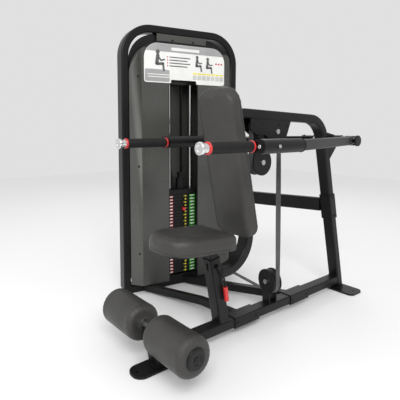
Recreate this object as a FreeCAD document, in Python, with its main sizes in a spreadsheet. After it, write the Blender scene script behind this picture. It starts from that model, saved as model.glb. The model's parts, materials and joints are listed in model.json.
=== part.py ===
import FreeCAD, Part
import math
import os
import Sketcher
from FreeCAD import Vector, Rotation, Placement

# A seated dip machine: a weight-stack tower beside a seat, two lever arms that
# turn on an axle behind the rear upright, and a belt that lifts the stack.
# +Z is up, the user sits on the seat facing -Y, and the tower stands at -X.
# The origin is on the floor under the front foot. All sizes are millimetres.

doc = FreeCAD.newDocument("DipMachine")
sheet = doc.addObject("Spreadsheet::Sheet", "Sizes")

sizeRows = [
    ("tubeWide", 64, "frame tube, across the machine"),
    ("tubeDeep", 46, "frame tube, in the plane of the frame"),
    ("tubeWall", 3, "wall of the frame tube"),
    ("tubeCorner", 8, "outside corner of the frame tube"),
    ("sleeveWall", 4, "wall of the clamp sleeves"),
    ("baseCentre", 63, "height of the base tube's middle"),
    ("footThick", 10, "foot plates"),
    ("footNose", 44, "radius of the front foot's front corners"),
    ("footHeel", 20, "radius of the front foot's rear corners"),
    ("footWide", 98, "front foot across the machine"),
    ("footFront", 90, "front foot ahead of the origin"),
    ("footBack", 80, "front foot behind the origin"),
    ("anchorHole", 12, "floor bolt holes, diameter"),
    ("rearFootHalf", 140, "rear foot, centre to end"),
    ("rearFootWide", 120, "rear foot, front to back"),
    ("anchorSpread", 220, "rear floor bolts, spacing across"),
    ("uprightFoot", 1391, "upright's middle at the top of its foot"),
    ("uprightLean", 12.85, "upright's lean towards the seat, degrees"),
    ("archHigh", 1043, "height where the upright meets the beam"),
    ("beamSlope", 2, "fall of the top beam towards the rear, degrees"),
    ("archBend", 140, "bend between upright and beam"),
    ("backLean", 12, "lean of the back tube and pad, degrees"),
    ("backTubeAt", 542.4, "back tube's middle at the height backTubeLevel"),
    ("backTubeLevel", 590, "height at which backTubeAt is measured"),
    ("topBend", 60, "bend between beam and back tube"),
    ("lowBend", 150, "bend at the foot of the back tube"),
    ("lowRun", 328, "height of the back tube's forward run"),
    ("postWide", 64, "seat post across the machine"),
    ("postDeep", 58, "seat post front to back"),
    ("postWall", 4, "wall of the seat post"),
    ("postFoot", 398, "seat post's middle at the base tube"),
    ("postLean", 11.3, "seat post's lean, degrees"),
    ("postLong", 326, "seat post along its lean"),
    ("slideFit", 0.6, "gap round the sliding seat tube"),
    ("slideLong", 270, "sliding seat tube"),
    ("slideOut", 50, "sliding seat tube that shows at rest"),
    ("seatWide", 270, "seat pad width"),
    ("seatLong", 350, "seat pad length"),
    ("seatThick", 70, "seat pad thickness"),
    ("seatTilt", 3.5, "seat pad, front edge up, degrees"),
    ("seatNose", 112, "radius of the seat's front corners"),
    ("seatHeel", 35, "radius of the seat's rear corners"),
    ("plateThick", 6, "steel plates under the pads"),
    ("topPulleyAt", 755, "beam pulley, distance behind the origin"),
    ("padWide", 236, "back pad width"),
    ("padHigh", 706, "back pad height along its lean"),
    ("padThick", 62, "back pad thickness"),
    ("padTopCorner", 78, "radius of the back pad's top corners"),
    ("padLowCorner", 62, "radius of the back pad's bottom corners"),
    ("padCentre", 842, "height on the back tube behind the pad's middle"),
    ("padGap", 0.5, "gap between a pad and its plate"),
    ("rollerHigh", 175, "height of the leg roller axle"),
    ("rollerRadius", 79.5, "leg roller radius"),
    ("rollerLong", 246, "leg roller length"),
    ("rollerInner", 47, "leg roller's inner end from the middle"),
    ("axleRadius", 16, "roller axle radius"),
    ("boreFit", 0.5, "running gap round the roller axle"),
    ("legPostFoot", 35, "leg post's middle at the foot plate"),
    ("legPostLean", 10.9, "leg post's lean, degrees"),
    ("pivotAt", 1262, "arm axle, distance behind the origin"),
    ("pivotHigh", 925, "arm axle height"),
    ("pivotRadius", 15, "arm axle radius"),
    ("bearingRadius", 23.5, "outside of the arm bearings"),
    ("bearingLong", 18, "length of each arm bearing"),
    ("housingRadius", 30, "outside of the arm axle housing"),
    ("housingHalf", 80, "half length of the arm axle housing"),
    ("hubIn", 104, "inner face of an arm hub from the middle"),
    ("hubOut", 156, "outer face of an arm hub from the middle"),
    ("hubRadius", 27, "arm hub radius"),
    ("armTube", 46, "square arm tube"),
    ("armWall", 3, "wall of the arm tube"),
    ("sleeveOff", 315, "handle sleeve from the middle"),
    ("sleeveRadius", 29, "handle sleeve outside radius"),
    ("sleeveBore", 19.0, "handle sleeve bore radius"),
    ("sleeveFront", 306, "front of the handle sleeve"),
    ("sleeveLong", 244, "length of the handle sleeve"),
    ("spigotFit", 0.05, "running gap of the handle spigot"),
    ("gripOff", 31, "grip's distance from the sleeve's middle"),
    ("gripRadius", 21.5, "rubber grip radius"),
    ("gripTube", 16, "handle tube radius"),
    ("gripFront", 20, "front of the handle's end cap"),
    ("capLong", 36, "bright end cap length"),
    ("ringGap", 8, "bare bar between the grip and the offset plate"),
    ("capRadius", 24, "bright end cap radius"),
    ("ringLong", 8, "red rings, length"),
    ("ringRadius", 26, "red rings, radius"),
    ("crossAt", 652, "arm cross tube, distance behind the origin"),
    ("beltWide", 25, "belt width"),
    ("beltThick", 3, "belt thickness"),
    ("beltGap", 0.4, "gap between a belt and its pulley"),
    ("armPulleyAt", 650.1, "arm pulley, distance behind the origin"),
    ("armPulleyHigh", 827, "arm pulley height"),
    ("armPulleyRadius", 58, "arm pulley tread radius"),
    ("topPulleyHigh", 978, "beam pulley height"),
    ("topPulleyRadius", 43, "beam pulley tread radius"),
    ("basePulleyAt", 750, "base pulley, distance behind the origin"),
    ("basePulleyHigh", 196, "base pulley height"),
    ("basePulleyRadius", 60, "base pulley tread radius"),
    ("pulleyWide", 34, "pulley width"),
    ("flangeHigh", 4, "pulley flange above the tread"),
    ("pulleyBore", 8, "pulley axle radius"),
    ("towerX", -719, "tower's front corner, across"),
    ("towerY", 287, "tower's front corner, behind the origin"),
    ("towerYaw", -10, "tower's turn about the vertical, degrees"),
    ("towerWide", 797, "tower loop outside width"),
    ("towerHigh", 1600, "tower loop outside height"),
    ("loopWide", 45, "tower loop tube, in its plane"),
    ("loopDeep", 76, "tower loop tube, front to back"),
    ("loopCorner", 190, "tower loop top corners, outside"),
    ("loopFoot", 40, "tower loop bottom corners, outside"),
    ("loopEdge", 8, "rounded edges of the tower loop"),
    ("shroudOut", 55, "front shroud ahead of the loop"),
    ("shroudBack", 40, "rear shroud behind the loop"),
    ("shroudWall", 3, "shroud sheet"),
    ("shroudLow", 56, "bottom of the shrouds"),
    ("shroudTop", 1500, "top of the shrouds"),
    ("slotLeft", 276, "front shroud slot, near edge along the tower"),
    ("slotRight", 468, "front shroud slot, far edge along the tower"),
    ("slotTop", 1290, "top of the front shroud slot"),
    ("stackAt", 393, "stack's middle along the tower"),
    ("stackBack", 40, "stack's middle behind the tower's face"),
    ("plateCount", 25, "weight plates"),
    ("platePitch", 20, "height of one weight plate"),
    ("plateGap", 0.4, "gap between weight plates"),
    ("plateWide", 220, "weight plate width"),
    ("plateDeep", 96, "weight plate front to back"),
    ("stackLow", 80, "underside of the lowest plate"),
    ("liftedCount", 5, "plates above the selector pin"),
    ("rodRadius", 11, "guide rod radius"),
    ("rodSpread", 150, "guide rod spacing"),
    ("rodFit", 1.0, "gap round a guide rod"),
    ("rodTop", 1264, "top of the guide rods"),
    ("stemRadius", 10, "selector stem radius"),
    ("pinRadius", 4.5, "selector pin radius"),
    ("towerPulleyHigh", 1386, "tower top pulley height"),
    ("towerPulleyRadius", 88, "tower top pulley tread radius"),
    ("footPulleyRadius", 40, "tower foot pulley tread radius"),
    ("placardWide", 545, "placard width"),
    ("placardAlong", 388, "placard's middle along the tower"),
    ("placardTop", 88, "radius of the placard's top corners"),
    ("placardFoot", 14, "radius of the placard's bottom corners"),
    ("placardHigh", 226, "placard height"),
    ("placardLow", 1260, "bottom of the placard"),
    ("placardThick", 4, "placard thickness"),
    ("crossTube", 44, "cross tubes between tower and base"),
    ("midTubeHigh", 78, "middle cross tube, height"),
    ("midTubeLevel", 540, "middle cross tube's middle"),
    ("boltRadius", 5, "frame bolts"),
]
for row, (alias, number, note) in enumerate(sizeRows, start=1):
    sheet.set("A%d" % row, note)
    sheet.set("B%d" % row, str(number))
    sheet.setAlias("B%d" % row, alias)
doc.recompute()

finished = []          # sub-parts whose shapes become files, in order of making


def size(alias):
    return float(getattr(sheet, alias))


def bind(feature, prop, rule):
    """Bind one property to a rule written with sheet aliases."""
    words = rule
    for alias in sorted((r[0] for r in sizeRows), key=len, reverse=True):
        words = words.replace("{%s}" % alias, "Sizes." + alias)
    feature.setExpression(prop, words)


def keep(feature, label):
    feature.Label = label
    finished.append(feature)
    return feature


def solidNode(label, shape, placement=Placement()):
    """A sub-part whose form neither a sketch nor a primitive gives."""
    feature = doc.addObject("Part::Feature", "Shape_" + label)
    feature.Shape = shape
    feature.Placement = placement.multiply(shape.Placement)
    return keep(feature, label)


towerPlace = Placement(
    Vector(size("towerX"), size("towerY"), 0), Rotation(Vector(0, 0, 1), size("towerYaw"))
)


def atTower(out, along, up):
    """A point given out from the tower's face, along it and up, in the machine's frame."""
    return towerPlace.multVec(Vector(out, along, up))


# Sketches and features
def originPlane(body, role):
    for feature in body.Origin.OriginFeatures:
        if feature.Role == role:
            return feature
    raise ValueError(role)


def newSketch(body, role, name, lift=None):
    sketch = body.newObject("Sketcher::SketchObject", name)
    sketch.AttachmentSupport = [(originPlane(body, role), "")]
    sketch.MapMode = "FlatFace"
    if lift:
        bind(sketch, "AttachmentOffset.Base.z", lift)
    return sketch


def rectangle(sketch, wide, deep, cx=0.0, cy=0.0):
    """A rectangle about (cx, cy), its two sizes bound to the sheet."""
    V = Vector
    a, b = 10.0, 8.0
    corners = [V(cx - a, cy - b, 0), V(cx + a, cy - b, 0), V(cx + a, cy + b, 0), V(cx - a, cy + b, 0)]
    first = sketch.GeometryCount
    for i in range(4):
        sketch.addGeometry(Part.LineSegment(corners[i], corners[(i + 1) % 4]), False)
    for i in range(4):
        sketch.addConstraint(Sketcher.Constraint("Coincident", first + i, 2, first + (i + 1) % 4, 1))
    sketch.addConstraint(Sketcher.Constraint("Horizontal", first))
    sketch.addConstraint(Sketcher.Constraint("Horizontal", first + 2))
    sketch.addConstraint(Sketcher.Constraint("Vertical", first + 1))
    sketch.addConstraint(Sketcher.Constraint("Vertical", first + 3))
    if cx == 0.0 and cy == 0.0:
        sketch.addConstraint(Sketcher.Constraint("Symmetric", first, 1, first + 2, 1, -1, 1))
    w = sketch.addConstraint(Sketcher.Constraint("DistanceX", first, 1, first, 2, 2 * a))
    h = sketch.addConstraint(Sketcher.Constraint("DistanceY", first + 1, 1, first + 1, 2, 2 * b))
    bind(sketch, "Constraints[%d]" % w, wide)
    bind(sketch, "Constraints[%d]" % h, deep)


def circle(sketch, radius, cx=0.0, cy=0.0):
    """A circle with its radius bound to the sheet."""
    g = sketch.addGeometry(Part.Circle(Vector(cx, cy, 0), Vector(0, 0, 1), 10.0), False)
    if cx == 0.0 and cy == 0.0:
        sketch.addConstraint(Sketcher.Constraint("Coincident", g, 3, -1, 1))
    else:
        if cx == 0.0:
            sketch.addConstraint(Sketcher.Constraint("PointOnObject", g, 3, -2))
        else:
            sketch.addConstraint(Sketcher.Constraint("DistanceX", -1, 1, g, 3, cx))
        if cy == 0.0:
            sketch.addConstraint(Sketcher.Constraint("PointOnObject", g, 3, -1))
        else:
            sketch.addConstraint(Sketcher.Constraint("DistanceY", -1, 1, g, 3, cy))
    r = sketch.addConstraint(Sketcher.Constraint("Radius", g, 10.0))
    bind(sketch, "Constraints[%d]" % r, radius)


def newBody(label):
    body = doc.addObject("PartDesign::Body", "Body_" + label)
    return keep(body, label)


def pad(body, sketch, length, both=False):
    feature = body.newObject("PartDesign::Pad", "Pad")
    feature.Profile = sketch
    feature.Midplane = both
    bind(feature, "Length", length)
    doc.recompute()
    return feature


def roundAlong(body, direction, radius, near=None):
    """Fillet the straight edges that run along a direction."""
    base = body.Tip
    names = []
    for i, edge in enumerate(base.Shape.Edges, start=1):
        if edge.Curve.TypeId != "Part::GeomLine" or edge.Length < 1:
            continue
        run = (edge.Vertexes[1].Point - edge.Vertexes[0].Point).normalize()
        if abs(abs(run.dot(direction)) - 1) > 1e-6:
            continue
        if near is None or near(edge.CenterOfMass):
            names.append("Edge%d" % i)
    feature = body.newObject("PartDesign::Fillet", "Fillet")
    feature.Base = (base, names)
    bind(feature, "Radius", radius)
    doc.recompute()
    return feature


def boxTube(label, wide, deep, wall, length, corner):
    """A straight hollow tube up its own Z, made as sketch, pad and fillets."""
    body = newBody(label)
    sketch = newSketch(body, "XY_Plane", "Section")
    rectangle(sketch, wide, deep)
    rectangle(sketch, "(%s) - 2 * (%s)" % (wide, wall), "(%s) - 2 * (%s)" % (deep, wall))
    pad(body, sketch, length)
    edgeOf = body.Tip.Shape.BoundBox
    roundAlong(
        body, Vector(0, 0, 1), corner,
        lambda p: abs(p.x) > edgeOf.XMax - 0.5 and abs(p.y) > edgeOf.YMax - 0.5,
    )
    return body


def turned(label, outline, axis="V_Axis"):
    """A round piece about its own Z: the outline is (radius, height) pairs."""
    body = newBody(label)
    sketch = newSketch(body, "XZ_Plane", "Outline")
    addOutline(sketch, outline)
    feature = body.newObject("PartDesign::Revolution", "Turn")
    feature.Profile = sketch
    feature.ReferenceAxis = (sketch, [axis])
    feature.Angle = 360
    doc.recompute()
    return body


def addOutline(sketch, points):
    """A closed outline with each corner held by two distances from the origin."""
    first = sketch.GeometryCount
    n = len(points)
    for i in range(n):
        a, b = points[i], points[(i + 1) % n]
        sketch.addGeometry(Part.LineSegment(Vector(a[0], a[1], 0), Vector(b[0], b[1], 0)), False)
    for i in range(n):
        sketch.addConstraint(Sketcher.Constraint("Coincident", first + i, 2, first + (i + 1) % n, 1))
    for i, (x, y) in enumerate(points):
        if abs(x) > 1e-6:
            sketch.addConstraint(Sketcher.Constraint("DistanceX", -1, 1, first + i, 1, x))
        if abs(y) > 1e-6:
            sketch.addConstraint(Sketcher.Constraint("DistanceY", -1, 1, first + i, 1, y))


def place(feature, position, toward=Vector(0, 0, 1), spin=0.0):
    """Stand a piece made up its own Z at a position, pointing another way."""
    turn = Rotation(Vector(0, 0, 1), toward)
    feature.Placement = Placement(position, turn.multiply(Rotation(Vector(0, 0, 1), spin)))
    return feature


# Part primitives
def rod(name, radius, height, position, toward=Vector(0, 0, 1)):
    """A round bar as a Part primitive."""
    bar = doc.addObject("Part::Cylinder", name)
    bind(bar, "Radius", radius)
    bind(bar, "Height", height)
    return place(bar, position, toward)


def group(label, members):
    """Separate solids that share one node."""
    feature = doc.addObject("Part::Compound", "Group_" + label)
    feature.Links = members
    return keep(feature, label)


def cut(label, base, tool):
    feature = doc.addObject("Part::Cut", "Cut_" + label)
    feature.Base = base
    feature.Tool = tool
    return keep(feature, label)


# Bent tubes
def bentPath(points, radii):
    """Straight runs joined by tangent arcs, as one wire."""
    edges = []
    start = points[0]
    for i in range(1, len(points) - 1):
        here = points[i]
        back = (points[i - 1] - here).normalize()
        ahead = (points[i + 1] - here).normalize()
        turn = math.pi - back.getAngle(ahead)
        radius = radii[i - 1]
        reach = radius * math.tan(turn / 2)
        one, two = here + back * reach, here + ahead * reach
        inward = (back + ahead).normalize()
        middle = here + inward * (radius / math.cos(turn / 2) - radius)
        if (one - start).Length > 1e-6:
            edges.append(Part.LineSegment(start, one).toShape())
        edges.append(Part.Arc(one, middle, two).toShape())
        start = two
    edges.append(Part.LineSegment(start, points[-1]).toShape())
    return Part.Wire(edges)


def roundedSection(centre, along, across, wide, deep, corner):
    """A rounded rectangle square to a path, `wide` measured along `across`."""
    block = Part.makeBox(wide, deep, 1.0, Vector(-wide / 2, -deep / 2, 0))
    upright = [e for e in block.Edges if abs(e.Vertexes[0].Point.z - e.Vertexes[1].Point.z) > 0.5]
    block = block.makeFillet(corner, upright)
    face = [f for f in block.Faces if abs(f.CenterOfMass.z) < 1e-6][0]
    z = Vector(along).normalize()
    x = (across - z * across.dot(z)).normalize()
    wire = face.OuterWire
    wire.Placement = Placement(centre, Rotation(x, z.cross(x), z, "ZXY"))
    return wire


def bentTube(points, radii, across, wide, deep, wall, corner):
    """A hollow tube of rounded rectangular section along a bent path."""
    path = bentPath(points, radii)
    along = points[1] - points[0]

    def sweep(w, d, r):
        section = roundedSection(points[0], along, across, w, d, r)
        shell = Part.BRepOffsetAPI.MakePipeShell(path)
        shell.setBiNormalMode(across)
        shell.add(section)
        shell.build()
        shell.makeSolid()
        return shell.shape()

    outer = sweep(wide, deep, corner)
    inner = sweep(wide - 2 * wall, deep - 2 * wall, max(corner - wall, 1.0))
    return outer.cut(inner)


def halfSpace(point, normal, reach=3000.0):
    """A big block on the side of a plane that its normal points to."""
    block = Part.makeBox(reach, reach, reach, Vector(-reach / 2, -reach / 2, 0))
    block.Placement = Placement(point, Rotation(Vector(0, 0, 1), normal))
    return block


# Where the leaning parts run
def onLean(y, z0, lean, z):
    """The y of a line that passes (y, z0) and leans forward as it rises."""
    return y - math.tan(math.radians(lean)) * (z - z0)


def leanAxis(lean):
    a = math.radians(lean)
    return Vector(0, -math.sin(a), math.cos(a))


def leanFront(lean):
    a = math.radians(lean)
    return Vector(0, -math.cos(a), -math.sin(a))


across = Vector(1, 0, 0)
rearward = Vector(0, 1, 0)
footTop = size("footThick")
baseTop = size("baseCentre") + size("tubeDeep") / 2
baseLow = size("baseCentre") - size("tubeDeep") / 2


def legPostPoint(z):
    return Vector(0, onLean(size("legPostFoot"), footTop, size("legPostLean"), z), z)


def seatPostPoint(z):
    return Vector(0, onLean(size("postFoot"), baseTop, size("postLean"), z), z)


def uprightPoint(z):
    return Vector(0, onLean(size("uprightFoot"), footTop, size("uprightLean"), z), z)


def backTubePoint(z):
    return Vector(0, onLean(size("backTubeAt"), size("backTubeLevel"), size("backLean"), z), z)


def beamPoint(y):
    corner = uprightPoint(size("archHigh"))
    rise = math.tan(math.radians(size("beamSlope"))) * (corner.y - y)
    return Vector(0, y, corner.z + rise)


def archFront():
    """Where the beam's line meets the back tube's line."""
    y = 0.0
    z = size("archHigh")
    for _ in range(30):
        y = backTubePoint(z).y
        z = beamPoint(y).z
    return Vector(0, y, z)


halfDeep = size("tubeDeep") / 2
halfWide = size("tubeWide") / 2

# Feet
def plateBody(label, wide, deep, thick, corner, holes=(), nearCorner=None):
    """A plate as sketch, pad and fillets; each hole is (x, y, radius rule).

    The corners at -Y take nearCorner where one is given.
    """
    body = newBody(label)
    sketch = newSketch(body, "XY_Plane", "Outline")
    rectangle(sketch, wide, deep)
    for x, y, radius in holes:
        circle(sketch, radius, x, y)
    pad(body, sketch, thick)
    edge = body.Tip.Shape.BoundBox

    def farCorner(p):
        return abs(p.x) > edge.XMax - 0.5 and p.y > 0

    def closeCorner(p):
        return abs(p.x) > edge.XMax - 0.5 and p.y < 0

    roundAlong(body, Vector(0, 0, 1), corner, farCorner)
    roundAlong(body, Vector(0, 0, 1), nearCorner or corner, closeCorner)
    return body


footLong = size("footFront") + size("footBack")
footMiddle = (size("footBack") - size("footFront")) / 2
footHoles = [(0, -footLong / 2 + 25, "{anchorHole} / 2"), (0, footLong / 2 - 12, "{anchorHole} / 2")]
frontFoot = plateBody(
    "front_foot", "{footWide}", "{footFront} + {footBack}", "{footThick}", "{footHeel}", footHoles, "{footNose}"
)
place(frontFoot, Vector(0, footMiddle, 0))

rearFootY = size("uprightFoot")
rearHoles = [
    (-size("anchorSpread") / 2, 0, "{anchorHole} / 2"),
    (size("anchorSpread") / 2, 0, "{anchorHole} / 2"),
]
rearFoot = plateBody("rear_foot", "2 * {rearFootHalf}", "{rearFootWide}", "{footThick}", "30", rearHoles)
place(rearFoot, Vector(0, rearFootY, 0))

# Straight tubes, coped where they meet
def copedTube(label, wide, deep, wall, length, corner, position, toward, spin, cuts):
    """A straight tube trimmed by planes: each cut is (point, normal to remove)."""
    body = boxTube(label + "_blank", wide, deep, wall, length, corner)
    finished.remove(body)
    place(body, position, toward, spin)
    last = body
    for i, (point, normal) in enumerate(cuts):
        block = doc.addObject("Part::Box", "%s_trim%d" % (label, i))
        block.Length = block.Width = block.Height = 900
        turn = Rotation(Vector(0, 0, 1), normal)
        block.Placement = Placement(point - turn.multVec(Vector(450, 450, 0)), turn)
        trimmed = doc.addObject("Part::Cut", "%s_cut%d" % (label, i))
        trimmed.Base = last
        trimmed.Tool = block
        last = trimmed
    return keep(last, label)


def leanTube(label, lean, foot, length, wide, deep, wall, cuts):
    """A tube that rises along a lean, its wide side across the machine."""
    axis = leanAxis(size(lean))
    tube = copedTube(label, wide, deep, wall, length, "{tubeCorner}", foot, axis, 0, cuts)
    return tube


floorNormal = Vector(0, 0, -1)
axleY = legPostPoint(size("rollerHigh")).y
legAxis = leanAxis(size("legPostLean"))
legPost = leanTube(
    "leg_post_tube", "legPostLean", legPostPoint(footTop) - legAxis * 20, "{rollerHigh} + 55",
    "{tubeWide}", "{tubeDeep}", "{tubeWall}",
    [(legPostPoint(footTop), floorNormal), (legPostPoint(size("rollerHigh") - 2), Vector(0, 0, 1))],
)
finished.remove(legPost)
axleHole = rod(
    "leg_post_bore", "{axleRadius}", "{tubeWide} + 20",
    Vector(-halfWide - 10, axleY, size("rollerHigh")), across,
)
cut("leg_post", legPost, axleHole)

legBack = legPostPoint(size("baseCentre")) - leanFront(size("legPostLean")) * halfDeep
archFace = uprightPoint(size("baseCentre")) + leanFront(size("uprightLean")) * halfDeep
copedTube(
    "base_tube", "{tubeDeep}", "{tubeWide}", "{tubeWall}", "{uprightFoot}", "{tubeCorner}",
    Vector(0, 0, size("baseCentre")), rearward, 90,
    [(legBack, leanFront(size("legPostLean"))), (archFace, leanFront(size("uprightLean")) * -1)],
)

postAxis = leanAxis(size("postLean"))
postFront = leanFront(size("postLean"))
seatPost = leanTube(
    "seat_post_tube", "postLean", seatPostPoint(baseTop) - postAxis * 20, "{postLong} + 20",
    "{postWide}", "{postDeep}", "{postWall}", [(seatPostPoint(baseTop), floorNormal)],
)
finished.remove(seatPost)
slotLevel = 372
slotBlock = doc.addObject("Part::Box", "post_slot")
slotBlock.Length = 12
slotBlock.Width = 20
slotBlock.Height = 34
slotBlock.Placement = Placement(
    seatPostPoint(slotLevel) + postFront * (size("postDeep") / 2 + 8) - Vector(6, 0, 0) - postAxis * 17,
    Rotation(Vector(1, 0, 0), size("postLean")),
)
cut("seat_post", seatPost, slotBlock)

# The main loop: upright, beam and back tube
beamFront = archFront()
backLow = backTubePoint(size("lowRun"))
postBack = seatPostPoint(size("lowRun")) - postFront * (size("postDeep") / 2)
splitY = 548.0
splitPoint = beamPoint(splitY)
beamAlong = (beamFront - uprightPoint(size("archHigh"))).normalize()

archTube = bentTube(
    [uprightPoint(footTop - 20), uprightPoint(size("archHigh")), splitPoint],
    [size("archBend")], across, size("tubeWide"), size("tubeDeep"), size("tubeWall"), size("tubeCorner"),
)
solidNode("rear_arch", archTube.cut(halfSpace(Vector(0, 0, footTop), floorNormal)))

backTube = bentTube(
    [splitPoint, beamFront, backLow, Vector(0, postBack.y - 40, size("lowRun"))],
    [size("topBend"), size("lowBend")], across,
    size("tubeWide"), size("tubeDeep"), size("tubeWall"), size("tubeCorner"),
)
solidNode("back_tube", backTube.cut(halfSpace(postBack, postFront)))

# Sleeves that join the cross tubes to the frame
sleeveWall = size("sleeveWall")
sleeveGap = 0.2


def sleeveShape(length):
    inside = (size("tubeWide") / 2 + sleeveGap, halfDeep + sleeveGap)
    outside = (inside[0] + sleeveWall, inside[1] + sleeveWall)
    outer = Part.makeBox(2 * outside[0], 2 * outside[1], length, Vector(-outside[0], -outside[1], 0))
    inner = Part.makeBox(2 * inside[0], 2 * inside[1], length + 2, Vector(-inside[0], -inside[1], -1))
    edges = [e for e in outer.Edges if abs(e.Vertexes[0].Point.z - e.Vertexes[1].Point.z) > length / 2]
    return outer.makeFillet(5, edges).cut(inner)


frontSleeve = sleeveShape(170)
frontSleeve.Placement = Placement(Vector(0, 462, size("baseCentre")), Rotation(Vector(0, 0, 1), rearward))
rearSleeve = sleeveShape(160)
rearSleeve.Placement = Placement(Vector(0, 885, size("baseCentre")), Rotation(Vector(0, 0, 1), rearward))
archSleeve = sleeveShape(148)
archSleeve.Placement = Placement(uprightPoint(460), Rotation(Vector(1, 0, 0), size("uprightLean")))
sleeveFace = halfWide + sleeveGap + sleeveWall
solidNode("frame_sleeves", Part.makeCompound([frontSleeve, rearSleeve, archSleeve]))

# The tower's loop
def loopOutline(low, high, left, right, topRadius, footRadius):
    """A closed wire in the tower's (along, up) plane with rounded corners."""
    block = Part.makeBox(1.0, right - left, high - low, Vector(0, left, low))
    across4 = [e for e in block.Edges if abs(e.Vertexes[0].Point.x - e.Vertexes[1].Point.x) > 0.5]
    top = [e for e in across4 if e.CenterOfMass.z > (low + high) / 2]
    foot = [e for e in across4 if e.CenterOfMass.z < (low + high) / 2]
    block = block.makeFillet(topRadius, top)
    foot = [
        e for e in block.Edges
        if len(e.Vertexes) == 2 and abs(e.Vertexes[0].Point.x - e.Vertexes[1].Point.x) > 0.5
        and e.CenterOfMass.z < low + 1e-6
    ]
    return block.makeFillet(footRadius, foot) if footRadius > 0 else block


def loopBlock(out0, out1, inset):
    """The loop's outside shape shrunk by an inset, between two depths."""
    wide, high = size("towerWide"), size("towerHigh")
    shape = loopOutline(
        inset, high - inset, inset, wide - inset,
        size("loopCorner") - inset, max(size("loopFoot") - inset, 3.0),
    )
    face = [f for f in shape.Faces if abs(f.CenterOfMass.x) < 1e-6][0]
    return face.extrude(Vector(out1 - out0, 0, 0)).translated(Vector(out0, 0, 0))


loopBack = -size("loopDeep")
loopWide = size("loopWide")
loopShape = loopBlock(loopBack, 0, 0).cut(loopBlock(loopBack - 5, 5, loopWide))
loopEdges = [
    e
    for e in loopShape.Edges
    if abs(e.CenterOfMass.x) < 1e-6 or abs(e.CenterOfMass.x - loopBack) < 1e-6
]
loopShape = loopShape.makeFillet(size("loopEdge"), loopEdges)
wall = size("tubeWall")
hollow = loopBlock(loopBack + wall, -wall, wall).cut(loopBlock(loopBack, 0, loopWide - wall))
hollowEdges = [
    e for e in hollow.Edges
    if abs(e.CenterOfMass.x + wall) < 1e-6 or abs(e.CenterOfMass.x - loopBack - wall) < 1e-6
]
hollow = hollow.makeFillet(size("loopEdge") - wall, hollowEdges)
floorBores = [
    Part.makeCylinder(size("anchorHole") / 2, 30, Vector(loopBack / 2, at, -10), Vector(0, 0, 1))
    for at in (110, size("towerWide") - 110)
]
loopShape = loopShape.cut(hollow)
for bore in floorBores:
    loopShape = loopShape.cut(bore)
solidNode("tower_loop", loopShape, towerPlace)

# Cross tubes
sq = size("crossTube")
railMiddle = loopWide / 2 + 1
upZ = Vector(0, 0, 1)
sleeveSide = Vector(-sleeveFace, 0, 0)


def crossTube(label, points, radii, high, wide):
    tube = bentTube(points, radii, upZ, high, wide, size("tubeWall"), 6)
    face = halfSpace(atTower(0, 0, 0), towerPlace.Rotation.multVec(Vector(-1, 0, 0)))
    tube = tube.cut(face)
    return solidNode(label, tube.cut(halfSpace(sleeveSide, across)))


frontTubeEnd = atTower(-40, 119, railMiddle)
crossTube(
    "front_cross_tube",
    [frontTubeEnd, Vector(-290, 530, 48), Vector(0, 541, 61)], [150], sq - 4, sq - 4,
)
rearTubeEnd = atTower(-40, 397, railMiddle + 2)
crossTube("rear_cross_tube", [rearTubeEnd, Vector(-330, 812, 43), Vector(0, 950, 61)], [900], sq, sq)
midLevel = size("midTubeLevel")
midEnd = atTower(-40, 774.5, midLevel)
crossTube(
    "mid_cross_tube",
    [midEnd, Vector(-330, 1152, midLevel), Vector(0, uprightPoint(midLevel).y - 4, midLevel)], [120],
    size("midTubeHigh"), 38,
)

# Leg rollers
rollerMiddle = Vector(0, axleY, size("rollerHigh"))
rollerIn = size("rollerInner")
rollerOut = rollerIn + size("rollerLong")
legAxle = rod(
    "leg_axle_bar", "{axleRadius}", "2 * {rollerInner} + 2 * {rollerLong} - 20",
    Vector(-rollerOut + 10, axleY, size("rollerHigh")), across,
)
keep(legAxle, "leg_axle")


def rollerOutline():
    """Foam roller from its inner end at 0, with generous rounded ends."""
    r, long = size("rollerRadius"), size("rollerLong")
    bore = size("axleRadius") + size("boreFit")
    return [
        (bore, 0), (r - 14, 0), (r - 4, 5), (r, 18), (r, long - 18), (r - 4, long - 5), (r - 14, long),
        (bore, long),
    ]


def hubOutline():
    """Plastic end cap that hides the axle's end, sitting on the roller's face."""
    long = size("rollerLong")
    bore = size("axleRadius") + size("boreFit")
    face = long + 0.3
    return [(0, face), (43, face), (43, face + 4), (38, face + 8), (0, face + 8)]


for side, name in ((1, "left"), (-1, "right")):
    facing = across * side
    start = rollerMiddle + facing * rollerIn
    foam = place(turned("roller_foam_" + name, rollerOutline()), start, facing)
    endCap = place(turned("roller_cap_" + name, hubOutline()), start, facing)
    finished.remove(foam)
    finished.remove(endCap)
    group("roller_" + name, [foam, endCap])

# Seat
slideInset = size("postWall") + size("slideFit")
seatTube = boxTube(
    "seat_tube_blank", "{postWide} - 2 * {postWall} - 2 * {slideFit}", "{postDeep} - 2 * {postWall} - 2 * {slideFit}",
    "{tubeWall}", "{slideLong}", "4",
)
finished.remove(seatTube)
postTop = seatPostPoint(baseTop) + postAxis * size("postLong")
slideFoot = postTop + postAxis * (size("slideOut") - size("slideLong"))
place(seatTube, slideFoot, postAxis)
slideHead = postTop + postAxis * size("slideOut")

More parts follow.
